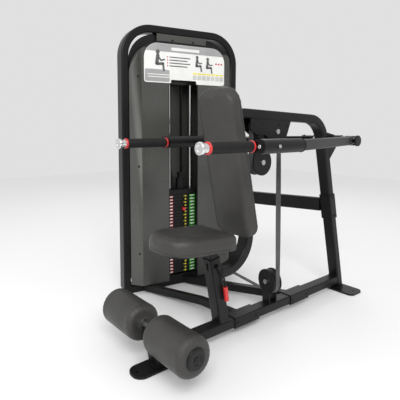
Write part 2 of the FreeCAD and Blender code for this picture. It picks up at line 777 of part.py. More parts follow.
tilt = Rotation(Vector(1, 0, 0), -size("seatTilt"))
tiltUp = tilt.multVec(upZ)
tiltBack = tilt.multVec(rearward)
seatFoot = slideHead + tiltUp * 4 + tiltBack * -118
seatBase = plateBody("seat_plate_blank", "190", "300", "{plateThick}", "15")
finished.remove(seatBase)
seatBase.Placement = Placement(seatFoot, tilt)
trim = doc.addObject("Part::Box", "seat_tube_trim")
trim.Length = trim.Width = trim.Height = 300
trim.Placement = Placement(seatFoot + tilt.multVec(Vector(-150, -30, 0)), tilt)
coped = doc.addObject("Part::Cut", "seat_tube_coped")
coped.Base = seatTube
coped.Tool = trim
seatFrame = doc.addObject("Part::Fuse", "seat_frame")
seatFrame.Base = coped
seatFrame.Tool = seatBase
keep(seatFrame, "seat_slide")


def cushion(label, wide, deep, thick, corner, nearCorner, edge):
    """A closed pad lying on its back: sketch, pad, round corners and soft edges."""
    body = plateBody(label, wide, deep, thick, corner, (), nearCorner)
    base = body.Tip
    names = []
    low, high = base.Shape.BoundBox.ZMin, base.Shape.BoundBox.ZMax
    for i, e in enumerate(base.Shape.Edges, start=1):
        flat = abs(e.BoundBox.ZMax - e.BoundBox.ZMin) < 0.01
        if flat and abs(e.CenterOfMass.z - high) < 0.1:
            names.append("Edge%d" % i)
    feature = body.newObject("PartDesign::Fillet", "Soft")
    feature.Base = (base, names)
    bind(feature, "Radius", edge)
    doc.recompute()
    return body


seatPad = cushion(
    "seat_pad", "{seatWide}", "{seatLong}", "{seatThick}", "{seatHeel}", "{seatNose}", "24"
)
seatPad.Placement = Placement(seatFoot + tiltUp * (size("plateThick") + size("padGap")), tilt)

leverPivot = Vector(halfWide + 0.5, seatPostPoint(369).y, 369)
leverBend = leverPivot + Vector(14, 32, -57)
leverKnee = leverPivot + Vector(15, 38, -94)
leverEnd = leverPivot + Vector(15, 48, -158)
leverHub = Part.makeCylinder(11, 11, leverPivot, across)
leverHub = leverHub.cut(Part.makeCylinder(5.05, 13, leverPivot - across, across))
leverRun = bentPath([leverPivot + Vector(5.5, 5.0, -9.4), leverBend, leverKnee, leverEnd], [20, 20])
leverStart = leverPivot + Vector(5.5, 5.0, -9.4)
leverSection = Part.Wire(Part.makeCircle(4.5, leverStart, (leverBend - leverStart)))
leverBar = leverRun.makePipeShell([leverSection], True, False)
solidNode("seat_lever", leverHub.fuse(leverBar))
gripRun = (leverEnd - leverKnee).normalize()
leverGrip = Part.makeCylinder(11, (leverEnd - leverKnee).Length + 4, leverKnee + gripRun * 6, gripRun)
leverGrip = leverGrip.makeFillet(4, [e for e in leverGrip.Edges if e.Curve.TypeId == "Part::GeomCircle"])
solidNode("lever_grip", leverGrip.cut(leverBar))
leverPin = Part.makeCylinder(5, 14, leverPivot - across * 0.5, across)
leverCap = Part.makeCylinder(8, 4, leverPivot + across * 11.5, across)
leverBolt = leverPin.fuse(leverCap)

# Back pad
backUp = leanAxis(size("backLean"))
backFront = leanFront(size("backLean"))
backTurn = Rotation(Vector(1, 0, 0), 90 + size("backLean"))
plateMiddle = backTubePoint(size("padCentre")) + backFront * halfDeep
backPlate = plateBody("back_plate", "150", "{padHigh} - 120", "{plateThick}", "20")
backPlate.Placement = Placement(plateMiddle, backTurn)
backPad = cushion(
    "back_pad", "{padWide}", "{padHigh}", "{padThick}", "{padTopCorner}", "{padLowCorner}", "22"
)
backPad.Placement = Placement(plateMiddle + backFront * (size("plateThick") + size("padGap")), backTurn)

# Arm axle and its housing
pivot = Vector(0, size("pivotAt"), size("pivotHigh"))


def ringAt(outer, inner, x0, x1, centre=pivot):
    """A ring about a line across the machine, from x0 to x1."""
    at = Vector(x0, centre.y, centre.z)
    ring = Part.makeCylinder(outer, x1 - x0, at, across)
    return ring.cut(Part.makeCylinder(inner, x1 - x0 + 2, at - across, across)) if inner else ring


houseHalf = size("housingHalf")
housing = ringAt(size("housingRadius"), size("pivotRadius") + 2, -houseHalf, houseHalf)
seatDeep = size("bearingLong")
for x0 in (-houseHalf, houseHalf - seatDeep):
    housing = housing.cut(ringAt(size("bearingRadius"), 0, x0, x0 + seatDeep))
gussetFoot = uprightPoint(size("pivotHigh") - 110) - leanFront(size("uprightLean")) * halfDeep
gussetHead = uprightPoint(size("pivotHigh") + 40) - leanFront(size("uprightLean")) * halfDeep
gussets = []
for x in (-30, 22):
    outline = Part.makePolygon([
        Vector(x, gussetFoot.y, gussetFoot.z), Vector(x, pivot.y + 26, pivot.z - 42),
        Vector(x, pivot.y + 40, pivot.z - 10), Vector(x, pivot.y + 36, pivot.z + 26),
        Vector(x, gussetHead.y, gussetHead.z), Vector(x, gussetFoot.y, gussetFoot.z),
    ])
    gusset = Part.Face(outline).extrude(Vector(8, 0, 0))
    gussets.append(gusset.cut(ringAt(size("housingRadius"), 0, x - 1, x + 9)))
for gusset in gussets:
    housing = housing.fuse(gusset)
solidNode("pivot_housing", housing.removeSplitter())
bearings = [
    ringAt(size("bearingRadius"), size("pivotRadius") + 0.05, x0, x0 + seatDeep)
    for x0 in (-houseHalf, houseHalf - seatDeep)
]
solidNode("pivot_bearings", Part.makeCompound(bearings))
capIn = size("hubOut") + 12
axleBar = rod(
    "arm_axle_bar", "{pivotRadius}", "2 * {hubOut} + 24", Vector(-capIn, pivot.y, pivot.z), across,
)
keep(axleBar, "arm_axle")
spacers = [ringAt(21, size("pivotRadius"), a, b) for a, b in (
    (houseHalf + 0.3, size("hubIn")), (-size("hubIn"), -houseHalf - 0.3),
    (size("hubOut"), capIn), (-capIn, -size("hubOut")),
)]
caps = list(spacers)
for x0 in (capIn, -capIn - 14):
    disc = ringAt(30, 0, x0, x0 + 14)
    caps.append(disc.makeFillet(3, [e for e in disc.Edges if e.Curve.TypeId == "Part::GeomCircle"]))
solidNode("axle_collars", Part.makeCompound(caps))

# Arms
armHigh = size("pivotHigh")
sleeveEnd = size("sleeveFront") + size("sleeveLong")
hubMiddle = (size("hubIn") + size("hubOut")) / 2
hubHalf = (size("hubOut") - size("hubIn")) / 2
tube = size("armTube")


def armShape(side):
    """Hollow arm from the handle sleeve back to its hub on the axle."""
    front = Vector(side * size("sleeveOff"), sleeveEnd, armHigh)
    back = Vector(side * hubMiddle, pivot.y, armHigh)
    run = (back - front).normalize()
    start = front - run * 30
    length = (back - start).Length + 24
    block = Part.makeBox(length, tube, tube, Vector(0, -tube / 2, -tube / 2))
    block = block.makeFillet(
        6, [e for e in block.Edges if abs(e.Vertexes[0].Point.x - e.Vertexes[1].Point.x) > 1],
    )
    inner = tube - 2 * size("armWall")
    block = block.cut(Part.makeBox(length + 2, inner, inner, Vector(-1, -inner / 2, -inner / 2)))
    block.Placement = Placement(start, Rotation(across, run))
    block = block.cut(halfSpace(Vector(0, sleeveEnd, 0), Vector(0, -1, 0)))
    a, b = hubMiddle - hubHalf, hubMiddle + hubHalf
    x0, x1 = (a, b) if side > 0 else (-b, -a)
    block = block.cut(ringAt(size("hubRadius"), 0, min(x0, -b) - 60, max(x1, b) + 60))
    return block.fuse(ringAt(size("hubRadius"), size("pivotRadius"), x0, x1))


for side, name in ((1, "left"), (-1, "right")):
    shape = armShape(side)
    solidNode("arm_" + name, shape)

sleeves = []
for side in (1, -1):
    at = Vector(side * size("sleeveOff"), size("sleeveFront"), armHigh)
    sleeve = Part.makeCylinder(size("sleeveRadius"), size("sleeveLong"), at, rearward)
    sleeve = sleeve.makeFillet(2, [e for e in sleeve.Edges if e.Curve.TypeId == "Part::GeomCircle"])
    bore = Part.makeCylinder(size("sleeveBore"), size("sleeveLong") + 2, at - rearward, rearward)
    sleeves.append(sleeve.cut(bore))
solidNode("handle_sleeves", Part.makeCompound(sleeves))

crossY = size("crossAt")
frac = (pivot.y - crossY) / (pivot.y - sleeveEnd)
armXatCross = hubMiddle + (size("sleeveOff") - hubMiddle) * frac
armTurn = math.atan2(size("sleeveOff") - hubMiddle, pivot.y - sleeveEnd)
crossBlock = Part.makeBox(
    2 * armXatCross, tube, tube, Vector(-armXatCross, crossY - tube / 2, armHigh - tube / 2),
)
crossBlock = crossBlock.makeFillet(
    6, [e for e in crossBlock.Edges if abs(e.Vertexes[0].Point.x - e.Vertexes[1].Point.x) > 1],
)
innerTube = tube - 2 * size("armWall")
crossBlock = crossBlock.cut(
    Part.makeBox(
        2 * armXatCross + 2, innerTube, innerTube,
        Vector(-armXatCross - 1, crossY - innerTube / 2, armHigh - innerTube / 2),
    )
)
for side in (1, -1):
    inwardFace = Vector(side * (armXatCross - tube / 2 / math.cos(armTurn)), crossY, armHigh)
    normal = Vector(side * math.cos(armTurn), math.sin(armTurn), 0)
    crossBlock = crossBlock.cut(halfSpace(inwardFace, normal))
solidNode("arm_cross_tube", crossBlock)

armPulley = Vector(0, size("armPulleyAt"), size("armPulleyHigh"))
half = size("pulleyWide") / 2
plates = []
for x0 in (half + 2, -half - 8):
    disc = ringAt(size("armPulleyRadius") + 7, 0, x0, x0 + 6, armPulley)
    neck = Part.makeBox(6, 70, armHigh - tube / 2 - armPulley.z, Vector(x0, armPulley.y - 35, armPulley.z))
    plate = disc.fuse(neck).cut(halfSpace(Vector(0, 0, armHigh - tube / 2), upZ))
    plate = plate.cut(ringAt(size("pulleyBore"), 0, x0 - 1, x0 + 7, armPulley))
    plates.append(plate.removeSplitter())
solidNode("arm_pulley_plates", Part.makeCompound(plates))

# Handles
gripEnd = size("gripFront")
discThick = 10.0


def handleParts(side, name):
    centre = Vector(side * size("sleeveOff"), size("sleeveFront"), armHigh)
    offset = Vector(-side * size("gripOff"), 0, 0)
    spigot = Part.makeCylinder(
        size("sleeveBore") - size("spigotFit"), 205, centre - rearward * 0.5, rearward,
    )
    face = centre - rearward * (discThick + 0.5)
    plate = Part.makeCylinder(30, discThick, face, rearward)
    eye = Part.makeCylinder(23, discThick, face + offset, rearward)
    web = Part.makeBox(
        size("gripOff"), discThick, 46, Vector(min(face.x, face.x + offset.x), face.y, face.z - 23),
    )
    plate = plate.fuse(eye).fuse(web).removeSplitter()
    tubeFront = Vector(face.x + offset.x, gripEnd, armHigh)
    bar = Part.makeCylinder(size("gripTube"), face.y - gripEnd - 4, tubeFront + rearward * 4, rearward)
    cap = Part.makeCylinder(size("capRadius"), size("capLong"), tubeFront, rearward)
    cap = cap.makeFillet(
        6,
        [e for e in cap.Edges if e.CenterOfMass.y < gripEnd + 1 and e.Curve.TypeId == "Part::GeomCircle"],
    )
    solidNode("handle_" + name, spigot.fuse(plate).fuse(bar).fuse(cap).removeSplitter())
    rings = []
    starts = (gripEnd + size("capLong") + 0.2, face.y - size("ringLong") - size("ringGap"))
    for y in starts:
        at = Vector(tubeFront.x, y, armHigh)
        ring = Part.makeCylinder(size("ringRadius"), size("ringLong"), at, rearward)
        rings.append(
            ring.cut(Part.makeCylinder(size("gripTube"), size("ringLong") + 2, at - rearward, rearward))
        )
    solidNode("rings_" + name, Part.makeCompound(rings))
    gripStart = starts[0] + size("ringLong") + 0.2
    at = Vector(tubeFront.x, gripStart, armHigh)
    length = starts[1] - 0.2 - gripStart
    grip = Part.makeCylinder(size("gripRadius"), length, at, rearward)
    solidNode(
        "grip_" + name,
        grip.cut(Part.makeCylinder(size("gripTube"), length + 2, at - rearward, rearward)),
    )


for side, name in ((1, "left"), (-1, "right")):
    handleParts(side, name)

# Bracket under the beam
topPulley = Vector(0, size("topPulleyAt"), size("topPulleyHigh"))


def beamUnder(y):
    return beamPoint(y).z - halfDeep / math.cos(math.radians(size("beamSlope")))


bracket = None
for x0 in (half + 4, -half - 10):
    outline = Part.makePolygon([
        Vector(x0, 560, beamUnder(560)), Vector(x0, 862, beamUnder(862)), Vector(x0, 826, 944),
        Vector(x0, 700, 938), Vector(x0, 668, 962), Vector(x0, 606, 962), Vector(x0, 560, 990),
        Vector(x0, 560, beamUnder(560)),
    ])
    cheek = Part.Face(outline).extrude(Vector(6, 0, 0))
    cheek = cheek.cut(ringAt(size("pulleyBore"), 0, x0 - 1, x0 + 7, topPulley))
    bracket = cheek if bracket is None else bracket.fuse(cheek)
inner = half + 4
shelf = Part.makeBox(2 * inner, 50, 6, Vector(-inner, 612, 962))
anchorBack = size("armPulleyAt") - size("armPulleyRadius") - size("beltGap") - size("beltThick")
anchorBar = Part.makeBox(2 * inner, 10, 30, Vector(-inner, anchorBack - 10, 990))
bracket = bracket.fuse(shelf).fuse(anchorBar).removeSplitter()
solidNode("beam_bracket", bracket)
stopTop = 962.0
stopLow = armHigh + tube / 2 + 0.3
stopPad = Part.makeBox(44, 44, stopTop - stopLow, Vector(-22, 615, stopLow))
stackStops = []
for along in (-1, 1):
    at = atTower(-size("stackBack"), size("stackAt") + along * size("rodSpread") / 2, 66)
    ring = Part.makeCylinder(22, size("stackLow") - 66.2, at, upZ)
    stackStops.append(ring.cut(Part.makeCylinder(size("rodRadius") + 0.5, 30, at - upZ * 2, upZ)))
solidNode("rubber_stops", Part.makeCompound([stopPad] + stackStops))

# Base pulley plates
basePulley = Vector(0, size("basePulleyAt"), size("basePulleyHigh"))
facingTower = Placement(Vector(0, basePulley.y, 0), towerPlace.Rotation)
basePlates = []
for y0 in (-half - 8, half + 2):
    disc = Part.makeCylinder(64, 6, Vector(0, y0, basePulley.z), rearward)
    leg = Part.makeBox(56, 6, basePulley.z - baseTop, Vector(-28, y0, baseTop))
    plate = disc.fuse(leg).removeSplitter()
    plate = plate.cut(Part.makeCylinder(size("pulleyBore"), 8, Vector(0, y0 - 1, basePulley.z), rearward))
    plate.Placement = facingTower
    basePlates.append(plate)

# Pulleys
footPulleyOut = -36.5 + size("footPulleyRadius") + size("beltGap") + size("beltThick") / 2
footPulleyHigh = basePulley.z - size("basePulleyRadius") + size("footPulleyRadius")
footPulleyAlong = towerPlace.inverse().multVec(basePulley).y
towerPulleyAlong = footPulleyAlong - size("towerPulleyRadius") - size("beltGap") - size("beltThick") / 2
towerOut = -38.0
towerNormal = towerPlace.Rotation.multVec(Vector(1, 0, 0))
towerAlong = towerPlace.Rotation.multVec(Vector(0, 1, 0))
footPulley = atTower(footPulleyOut, footPulleyAlong, footPulleyHigh)
towerPulley = atTower(towerOut, towerPulleyAlong, size("towerPulleyHigh"))


def pulleyOutline(radius):
    """Half section of a flanged belt pulley, centred along its axle."""
    w = size("pulleyWide") / 2
    f = size("flangeHigh")
    bore = size("pulleyBore") + 0.05
    web = 6.0
    hub = 16.0
    return [
        (bore, -w), (hub, -w), (hub, -web), (radius - 8, -web), (radius - 8, -w), (radius + f, -w),
        (radius + f, -w + 2), (radius, -w + 2.5), (radius, w - 2.5), (radius + f, w - 2),
        (radius + f, w), (radius - 8, w), (radius - 8, web), (hub, web), (hub, w), (bore, w),
    ]


pulleyPlaces = [
    ("arm_pulley", "armPulleyRadius", armPulley, across),
    ("top_pulley", "topPulleyRadius", topPulley, across),
    ("base_pulley", "basePulleyRadius", basePulley, towerAlong),
    ("tower_foot_pulley", "footPulleyRadius", footPulley, towerAlong),
    ("tower_top_pulley", "towerPulleyRadius", towerPulley, towerNormal),
]
for label, radius, centre, axis in pulleyPlaces:
    wheel = turned(label, pulleyOutline(size(radius)))
    place(wheel, centre, axis)


def axlePin(centre, axis, reach):
    """A headed axle bolt with a nut, through the two plates beside a pulley."""
    pin = Part.makeCylinder(size("pulleyBore"), 2 * reach, centre - axis * reach, axis)
    head = Part.makeCylinder(13, 6, centre + axis * reach, axis)
    nut = Part.makeCylinder(13, 8, centre - axis * (reach + 8), axis)
    return pin.fuse(head).fuse(nut).removeSplitter()


armPulleyAxle = axlePin(armPulley, across, half + 8.1)
frameAxles = [
    axlePin(topPulley, across, half + 10.1), axlePin(basePulley, towerAlong, half + 8.1),
    axlePin(footPulley, towerAlong, half + 8.1), axlePin(towerPulley, towerNormal, 34.1),
]
solidNode("pulley_axles", Part.makeCompound(frameAxles))

# Tower head and foot
headLow, headHigh = 1352.0, size("towerHigh") - loopWide
hangers = []
for out0 in (towerOut + 28, towerOut - 34):
    outline = Part.makePolygon([
        Vector(out0, 224, headHigh), Vector(out0, 562, headHigh), Vector(out0, 562, 1500),
        Vector(out0, 530, headLow), Vector(out0, 438, headLow), Vector(out0, 224, 1481),
        Vector(out0, 224, headHigh),
    ])
    plate = Part.Face(outline).extrude(Vector(6, 0, 0))
    bore = Part.makeCylinder(
        size("pulleyBore"), 8, Vector(out0 - 1, towerPulleyAlong, size("towerPulleyHigh")),
        Vector(1, 0, 0),
    )
    hangers.append(plate.cut(bore))
rodBar = Part.makeBox(48, size("towerWide") - 2 * loopWide, 20, Vector(-64, loopWide, size("rodTop")))
for along in (size("stackAt"), footPulleyAlong):
    rodBar = rodBar.cut(Part.makeBox(36, 26, 24, Vector(-56, along - 13, size("rodTop") - 2)))
solidNode("top_bracket", Part.makeCompound(hangers + [rodBar]), towerPlace)
rods = [
    Part.makeCylinder(
        size("rodRadius"), size("rodTop") - 66,
        Vector(-size("stackBack"), size("stackAt") + s * size("rodSpread") / 2, 66),
    )
    for s in (-1, 1)
]
solidNode("guide_rods", Part.makeCompound(rods), towerPlace)
tray = Part.makeBox(
    size("loopDeep"), 230, 66 - loopWide, Vector(-size("loopDeep"), size("stackAt") - 115, loopWide),
)
tray = tray.makeFillet(3, [e for e in tray.Edges if abs(e.CenterOfMass.z - 66) < 0.1])
solidNode("stack_tray", tray, towerPlace)
footPlates = []
for along in (footPulleyAlong - half - 8, footPulleyAlong + half + 2):
    plate = Part.makeBox(96, 6, footPulleyHigh + 22 - loopWide, Vector(-70, along, loopWide))
    bore = Part.makeCylinder(
        size("pulleyBore"), 8, Vector(footPulleyOut, along - 1, footPulleyHigh), Vector(0, 1, 0),
    )
    footPlates.append(plate.cut(bore))
for plate in footPlates:
    plate.Placement = towerPlace
solidNode("pulley_plates", Part.makeCompound(basePlates + footPlates))

# Weight stack
pitch = size("platePitch")
plateTall = pitch - size("plateGap")
stackMid = Vector(-size("stackBack"), size("stackAt"), 0)


def weightPlate(low, tall=None, top=False):
    tall = tall or plateTall
    plate = Part.makeBox(
        size("plateDeep"), size("plateWide"), tall,
        stackMid + Vector(-size("plateDeep") / 2, -size("plateWide") / 2, low),
    )
    edges = [e for e in plate.Edges if abs(e.CenterOfMass.x - stackMid.x - size("plateDeep") / 2) < 0.1]
    plate = plate.makeFillet(3, edges)
    for s in (-1, 1):
        at = stackMid + Vector(0, s * size("rodSpread") / 2, low - 1)
        plate = plate.cut(Part.makeCylinder(size("rodRadius") + size("rodFit"), tall + 2, at))
    plate = plate.cut(
        Part.makeCylinder(size("stemRadius") + 0.5, tall + 2, stackMid + Vector(0, 0, low - 1))
    )
    if not top:
        at = stackMid + Vector(-12, 0, low + tall / 2)
        plate = plate.cut(Part.makeCylinder(size("pinRadius") + 0.5, 90, at, Vector(1, 0, 0)))
    return plate


count = int(size("plateCount"))
lifted = int(size("liftedCount"))
levels = [size("stackLow") + pitch * i for i in range(count)]
resting = [weightPlate(z) for z in levels[:count - lifted]]
raised = [weightPlate(z) for z in levels[count - lifted:]]
headZ = size("stackLow") + pitch * count
solidNode("resting_plates", Part.makeCompound(resting), towerPlace)
solidNode("lifted_plates", Part.makeCompound(raised), towerPlace)
solidNode("head_plate", weightPlate(headZ, 32, True), towerPlace)

stemTop = headZ + 136
stem = Part.makeCylinder(
    size("stemRadius"), headZ - size("stackLow"), stackMid + Vector(0, 0, size("stackLow")),
)
for z in levels:
    at = stackMid + Vector(-12, 0, z + plateTall / 2)
    stem = stem.cut(Part.makeCylinder(size("pinRadius") + 0.5, 40, at, Vector(1, 0, 0)))
neck = Part.makeCylinder(size("stemRadius"), 33, stackMid + Vector(0, 0, headZ))
collar = Part.makeBox(34, 44, 70, stackMid + Vector(-17, -22, headZ + 32.2))
collar = collar.makeFillet(
    5, [e for e in collar.Edges if abs(e.Vertexes[0].Point.z - e.Vertexes[1].Point.z) > 1],
)
clamp = Part.makeBox(30, 20, 34, stackMid + Vector(-15, -10, headZ + 102.2))
solidNode("selector_stem", stem.fuse(neck).fuse(collar).fuse(clamp).removeSplitter(), towerPlace)

pinLevel = levels[count - lifted] + plateTall / 2
pinFront = stackMid + Vector(size("plateDeep") / 2, 0, pinLevel)
pinBar = Part.makeCylinder(
    size("pinRadius"), size("plateDeep") / 2 + 11, stackMid + Vector(-10, 0, pinLevel), Vector(1, 0, 0),
)
knob = Part.makeCylinder(11, 20, pinFront + Vector(0.3, 0, 0), Vector(1, 0, 0))
knob = knob.makeFillet(
    4,
    [e for e in knob.Edges if e.Curve.TypeId == "Part::GeomCircle" and e.CenterOfMass.x > pinFront.x + 10],
)
solidNode("selector_pin", pinBar.fuse(knob).removeSplitter(), towerPlace)

# Shrouds
wide = size("towerWide")
out = size("shroudOut")
sheetWall = size("shroudWall")


def shroudSolid(depth, inset, low, high):
    """A bevelled box over the tower's face, shrunk by an inset."""
    d = depth - (inset if depth > 0 else -inset)
    points = [
        (0, loopWide + inset), (d, 100 + inset * 0.6), (d, 700 - inset * 0.6),
        (0, wide - loopWide - inset),
    ]
    if depth < 0:
        points.reverse()
    wire = Part.makePolygon([Vector(a, b, low) for a, b in points + points[:1]])
    block = Part.Face(wire).extrude(Vector(0, 0, high - low))
    cutter = loopOutline(low - 1, high, loopWide + inset, wide - loopWide - inset, 190, 0)
    cutter = [
        f
        for f in cutter.Faces
        if abs(f.CenterOfMass.x) < 1e-6
    ][0].extrude(Vector(abs(depth) * 2 + 20, 0, 0))
    return block.common(cutter.translated(Vector(-abs(depth) - 10, 0, 0)))


shroudLow, shroudTop = size("shroudLow"), size("shroudTop")
front = shroudSolid(out, 0, shroudLow, shroudTop).cut(
    shroudSolid(out, sheetWall, shroudLow - 2, shroudTop - sheetWall)
)
slot = Part.makeBox(
    60, size("slotRight") - size("slotLeft"), size("slotTop") - shroudLow + 20,
    Vector(out - 20, size("slotLeft"), shroudLow - 20),
)
front = front.cut(slot)
beltWindow = Part.makeBox(
    60, 46, 40, Vector(out - 30, footPulleyAlong - 23, footPulleyHigh - size("footPulleyRadius") - 22),
)
front = front.cut(beltWindow)
facet = (Vector(out, 100, 0) - Vector(0, loopWide, 0)).normalize()
solidNode("front_shroud", front.translated(Vector(0.2, 0, 0)), towerPlace)
back = shroudSolid(-size("shroudBack"), 0, shroudLow, shroudTop).cut(
    shroudSolid(-size("shroudBack"), sheetWall, shroudLow - 2, shroudTop - sheetWall)
)
solidNode("rear_shroud", back.translated(Vector(loopBack - 0.2, 0, 0)), towerPlace)

placard = plateBody(
    "placard_blank", "{placardWide}", "{placardHigh}", "{placardThick}", "{placardTop}", (), "{placardFoot}"
)
finished.remove(placard)
face = Rotation(Vector(0, 1, 0), Vector(0, 0, 1), Vector(1, 0, 0), "ZXY")
placard.Placement = towerPlace.multiply(
    Placement(Vector(out + 0.5, size("placardAlong"), size("placardLow") + size("placardHigh") / 2), face)
)
notch = doc.addObject("Part::Box", "placard_notch")
notch.Length = 20
notch.Width = size("slotRight") - size("slotLeft") - 20
notch.Height = 40
notch.Placement = towerPlace.multiply(
    Placement(Vector(out - 8, size("slotLeft") + 10, size("placardLow") - 20), Rotation())
)
cut("placard", placard, notch)

# Fasteners
def button(at, axis, radius=8.0, tall=4.0):
    """A button-head screw seen from outside, seated on a face."""
    head = Part.makeCylinder(radius, tall, at, axis)
    rim = [e for e in head.Edges if e.Curve.TypeId == "Part::GeomCircle"]
    rim = [e for e in rim if (e.CenterOfMass - at).dot(axis) > tall / 2]
    return head.makeFillet(tall * 0.4, rim)


heads = []
for side in (1, -1):
    x = side * sleeveFace
    for y in (483, 611, 898, 1030):
        heads.append(button(Vector(x, y, size("baseCentre")), across * side))
    for z in (478, 589):
        heads.append(button(uprightPoint(z) + across * x, across * side))
    bracketSide = side * (half + 10)
    for y, z in ((590, 1012), (836, 1008), (774, 1014)):
        heads.append(button(Vector(bracketSide, y, z), across * side))
    sleeveBolt = Vector(
        side * (size("sleeveOff") + size("sleeveRadius") - 1.2), size("sleeveFront") + 76, armHigh
    )
    heads.append(button(sleeveBolt, across * side, 7, 5))
armHeads = [h for h in heads if abs(h.BoundBox.Center.x) > size("sleeveOff")]
frameHeads = [h for h in heads if abs(h.BoundBox.Center.x) < size("sleeveOff")]
solidNode("frame_bolts", Part.makeCompound(frameHeads + [leverBolt]))
sleeveSolid = Part.makeCompound(sleeves)
solidNode("arm_bolts", Part.makeCompound([h.cut(sleeveSolid) for h in armHeads] + [armPulleyAxle]))

screws = []
nearSide = (loopWide + 40, out * 40 / 55 + 0.25, Vector(facet.y, -facet.x, 0))
farSide = (wide - loopWide - 40, out * 40 / 52 + 0.25, Vector(0.687, 0.727, 0))
for z in (1291, 772, 250):
    for along, outAt, normal in (nearSide, farSide):
        screws.append(button(Vector(outAt, along, z), normal, 6, 3))
for along in (327, 468):
    screws.append(button(Vector(towerOut + 34, along, 1522), Vector(1, 0, 0), 8, 4))
solidNode("shroud_screws", Part.makeCompound(screws), towerPlace)

# Lift belt
beltW, beltT = size("beltWide"), size("beltThick")
lift = size("beltGap") + beltT / 2


def ribbonEnd(centre, along, widthWay):
    """The belt's cross section at a point: width one way, thickness the other."""
    thickWay = along.cross(widthWay).normalize()
    a, b = widthWay * (beltW / 2), thickWay * (beltT / 2)
    return Part.makePolygon(
        [centre + a + b, centre - a + b, centre - a - b, centre + a - b, centre + a + b]
    )


def flatRun(start, end, wayStart, wayEnd, steps=1):
    """A straight run of belt; it twists evenly when its two ends differ."""
    along = (end - start).normalize()
    angle = wayStart.getAngle(wayEnd)
    turnAxis = along if wayStart.cross(wayEnd).dot(along) >= 0 else along * -1
    sections = []
    for i in range(steps + 1):
        f = i / steps
        twist = min(max((f - 0.08) / 0.84, 0.0), 1.0)
        way = Rotation(turnAxis, math.degrees(angle) * twist).multVec(wayStart)
        way = (way - along * way.dot(along)).normalize()
        sections.append(ribbonEnd(start + (end - start) * f, along, way))
    return Part.makeLoft(sections, True, True)


def wrap(centre, axis, radius, start, end):
    """An arc of belt round a pulley, from one contact point to another."""
    r = radius + lift
    a = (start - centre).normalize()
    b = (end - centre).normalize()
    sweepAngle = math.degrees(a.getAngle(b))
    direction = 1 if a.cross(b).dot(axis) >= 0 else -1
    section = Part.Face(ribbonEnd(centre + a * r, axis.cross(a).normalize(), axis))
    return section.revolve(centre, axis * direction, sweepAngle)


def halfTurnWrap(centre, axis, radius, start, through):
    """Half a turn of belt round a pulley, passing over a third point."""
    r = radius + lift
    a = (start - centre).normalize()
    direction = 1 if a.cross(through - centre).dot(axis) >= 0 else -1
    section = Part.Face(ribbonEnd(centre + a * r, axis.cross(a).normalize(), axis))
    return section.revolve(centre, axis * direction, 180)


armR = size("armPulleyRadius") + lift
topR = size("topPulleyRadius") + lift
baseR = size("basePulleyRadius") + lift
footR = size("footPulleyRadius") + lift
towerR = size("towerPulleyRadius") + lift

belt = []
anchor = Vector(0, armPulley.y - armR, 1016)
armFrontPoint = armPulley - rearward * armR
armBackPoint = armPulley + rearward * armR
topFrontPoint = topPulley - rearward * topR
topBackPoint = topPulley + rearward * topR
belt.append(flatRun(anchor, armFrontPoint, across, across))
belt.append(halfTurnWrap(armPulley, across, size("armPulleyRadius"), armFrontPoint, armPulley - upZ))
belt.append(flatRun(armBackPoint, topFrontPoint, across, across))
belt.append(halfTurnWrap(topPulley, across, size("topPulleyRadius"), topFrontPoint, topPulley + upZ))
baseSide = basePulley + towerNormal * baseR
baseUnder = basePulley - upZ * baseR
belt.append(flatRun(topBackPoint, baseSide, across, towerAlong, 12))
belt.append(wrap(basePulley, towerAlong, size("basePulleyRadius"), baseSide, baseUnder))
footUnder = footPulley - upZ * footR
footRise = footPulley - towerNormal * footR
belt.append(flatRun(baseUnder, footUnder, towerAlong, towerAlong))
belt.append(wrap(footPulley, towerAlong, size("footPulleyRadius"), footUnder, footRise))
towerFar = towerPulley + towerAlong * towerR
towerNear = towerPulley - towerAlong * towerR
belt.append(flatRun(footRise, towerFar, towerAlong, towerNormal, 12))
belt.append(halfTurnWrap(towerPulley, towerNormal, size("towerPulleyRadius"), towerFar, towerPulley + upZ))
stemHead = atTower(-size("stackBack"), size("stackAt"), headZ + 136.4)
belt.append(flatRun(towerNear, Vector(towerNear.x, towerNear.y, stemHead.z), towerNormal, towerNormal))
solidNode("lift_belt", Part.makeCompound(belt))

# Checks and files
doc.recompute()
for feature in doc.Objects:
    for state in feature.State:
        if state in ("Invalid", "Error"):
            raise RuntimeError("%s is %s" % (feature.Name, state))
os.makedirs("parts", exist_ok=True)
for feature in finished:
    shape = feature.Shape
    if shape.isNull() or not shape.isValid() or not shape.Solids:
        raise RuntimeError("%s has no valid solid" % feature.Label)
    shape.exportStep("parts/%s.step" % feature.Label)
print("%d sub-parts written" % len(finished))
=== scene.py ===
import bpy
import bmesh
import json
import math
from mathutils import Matrix, Vector

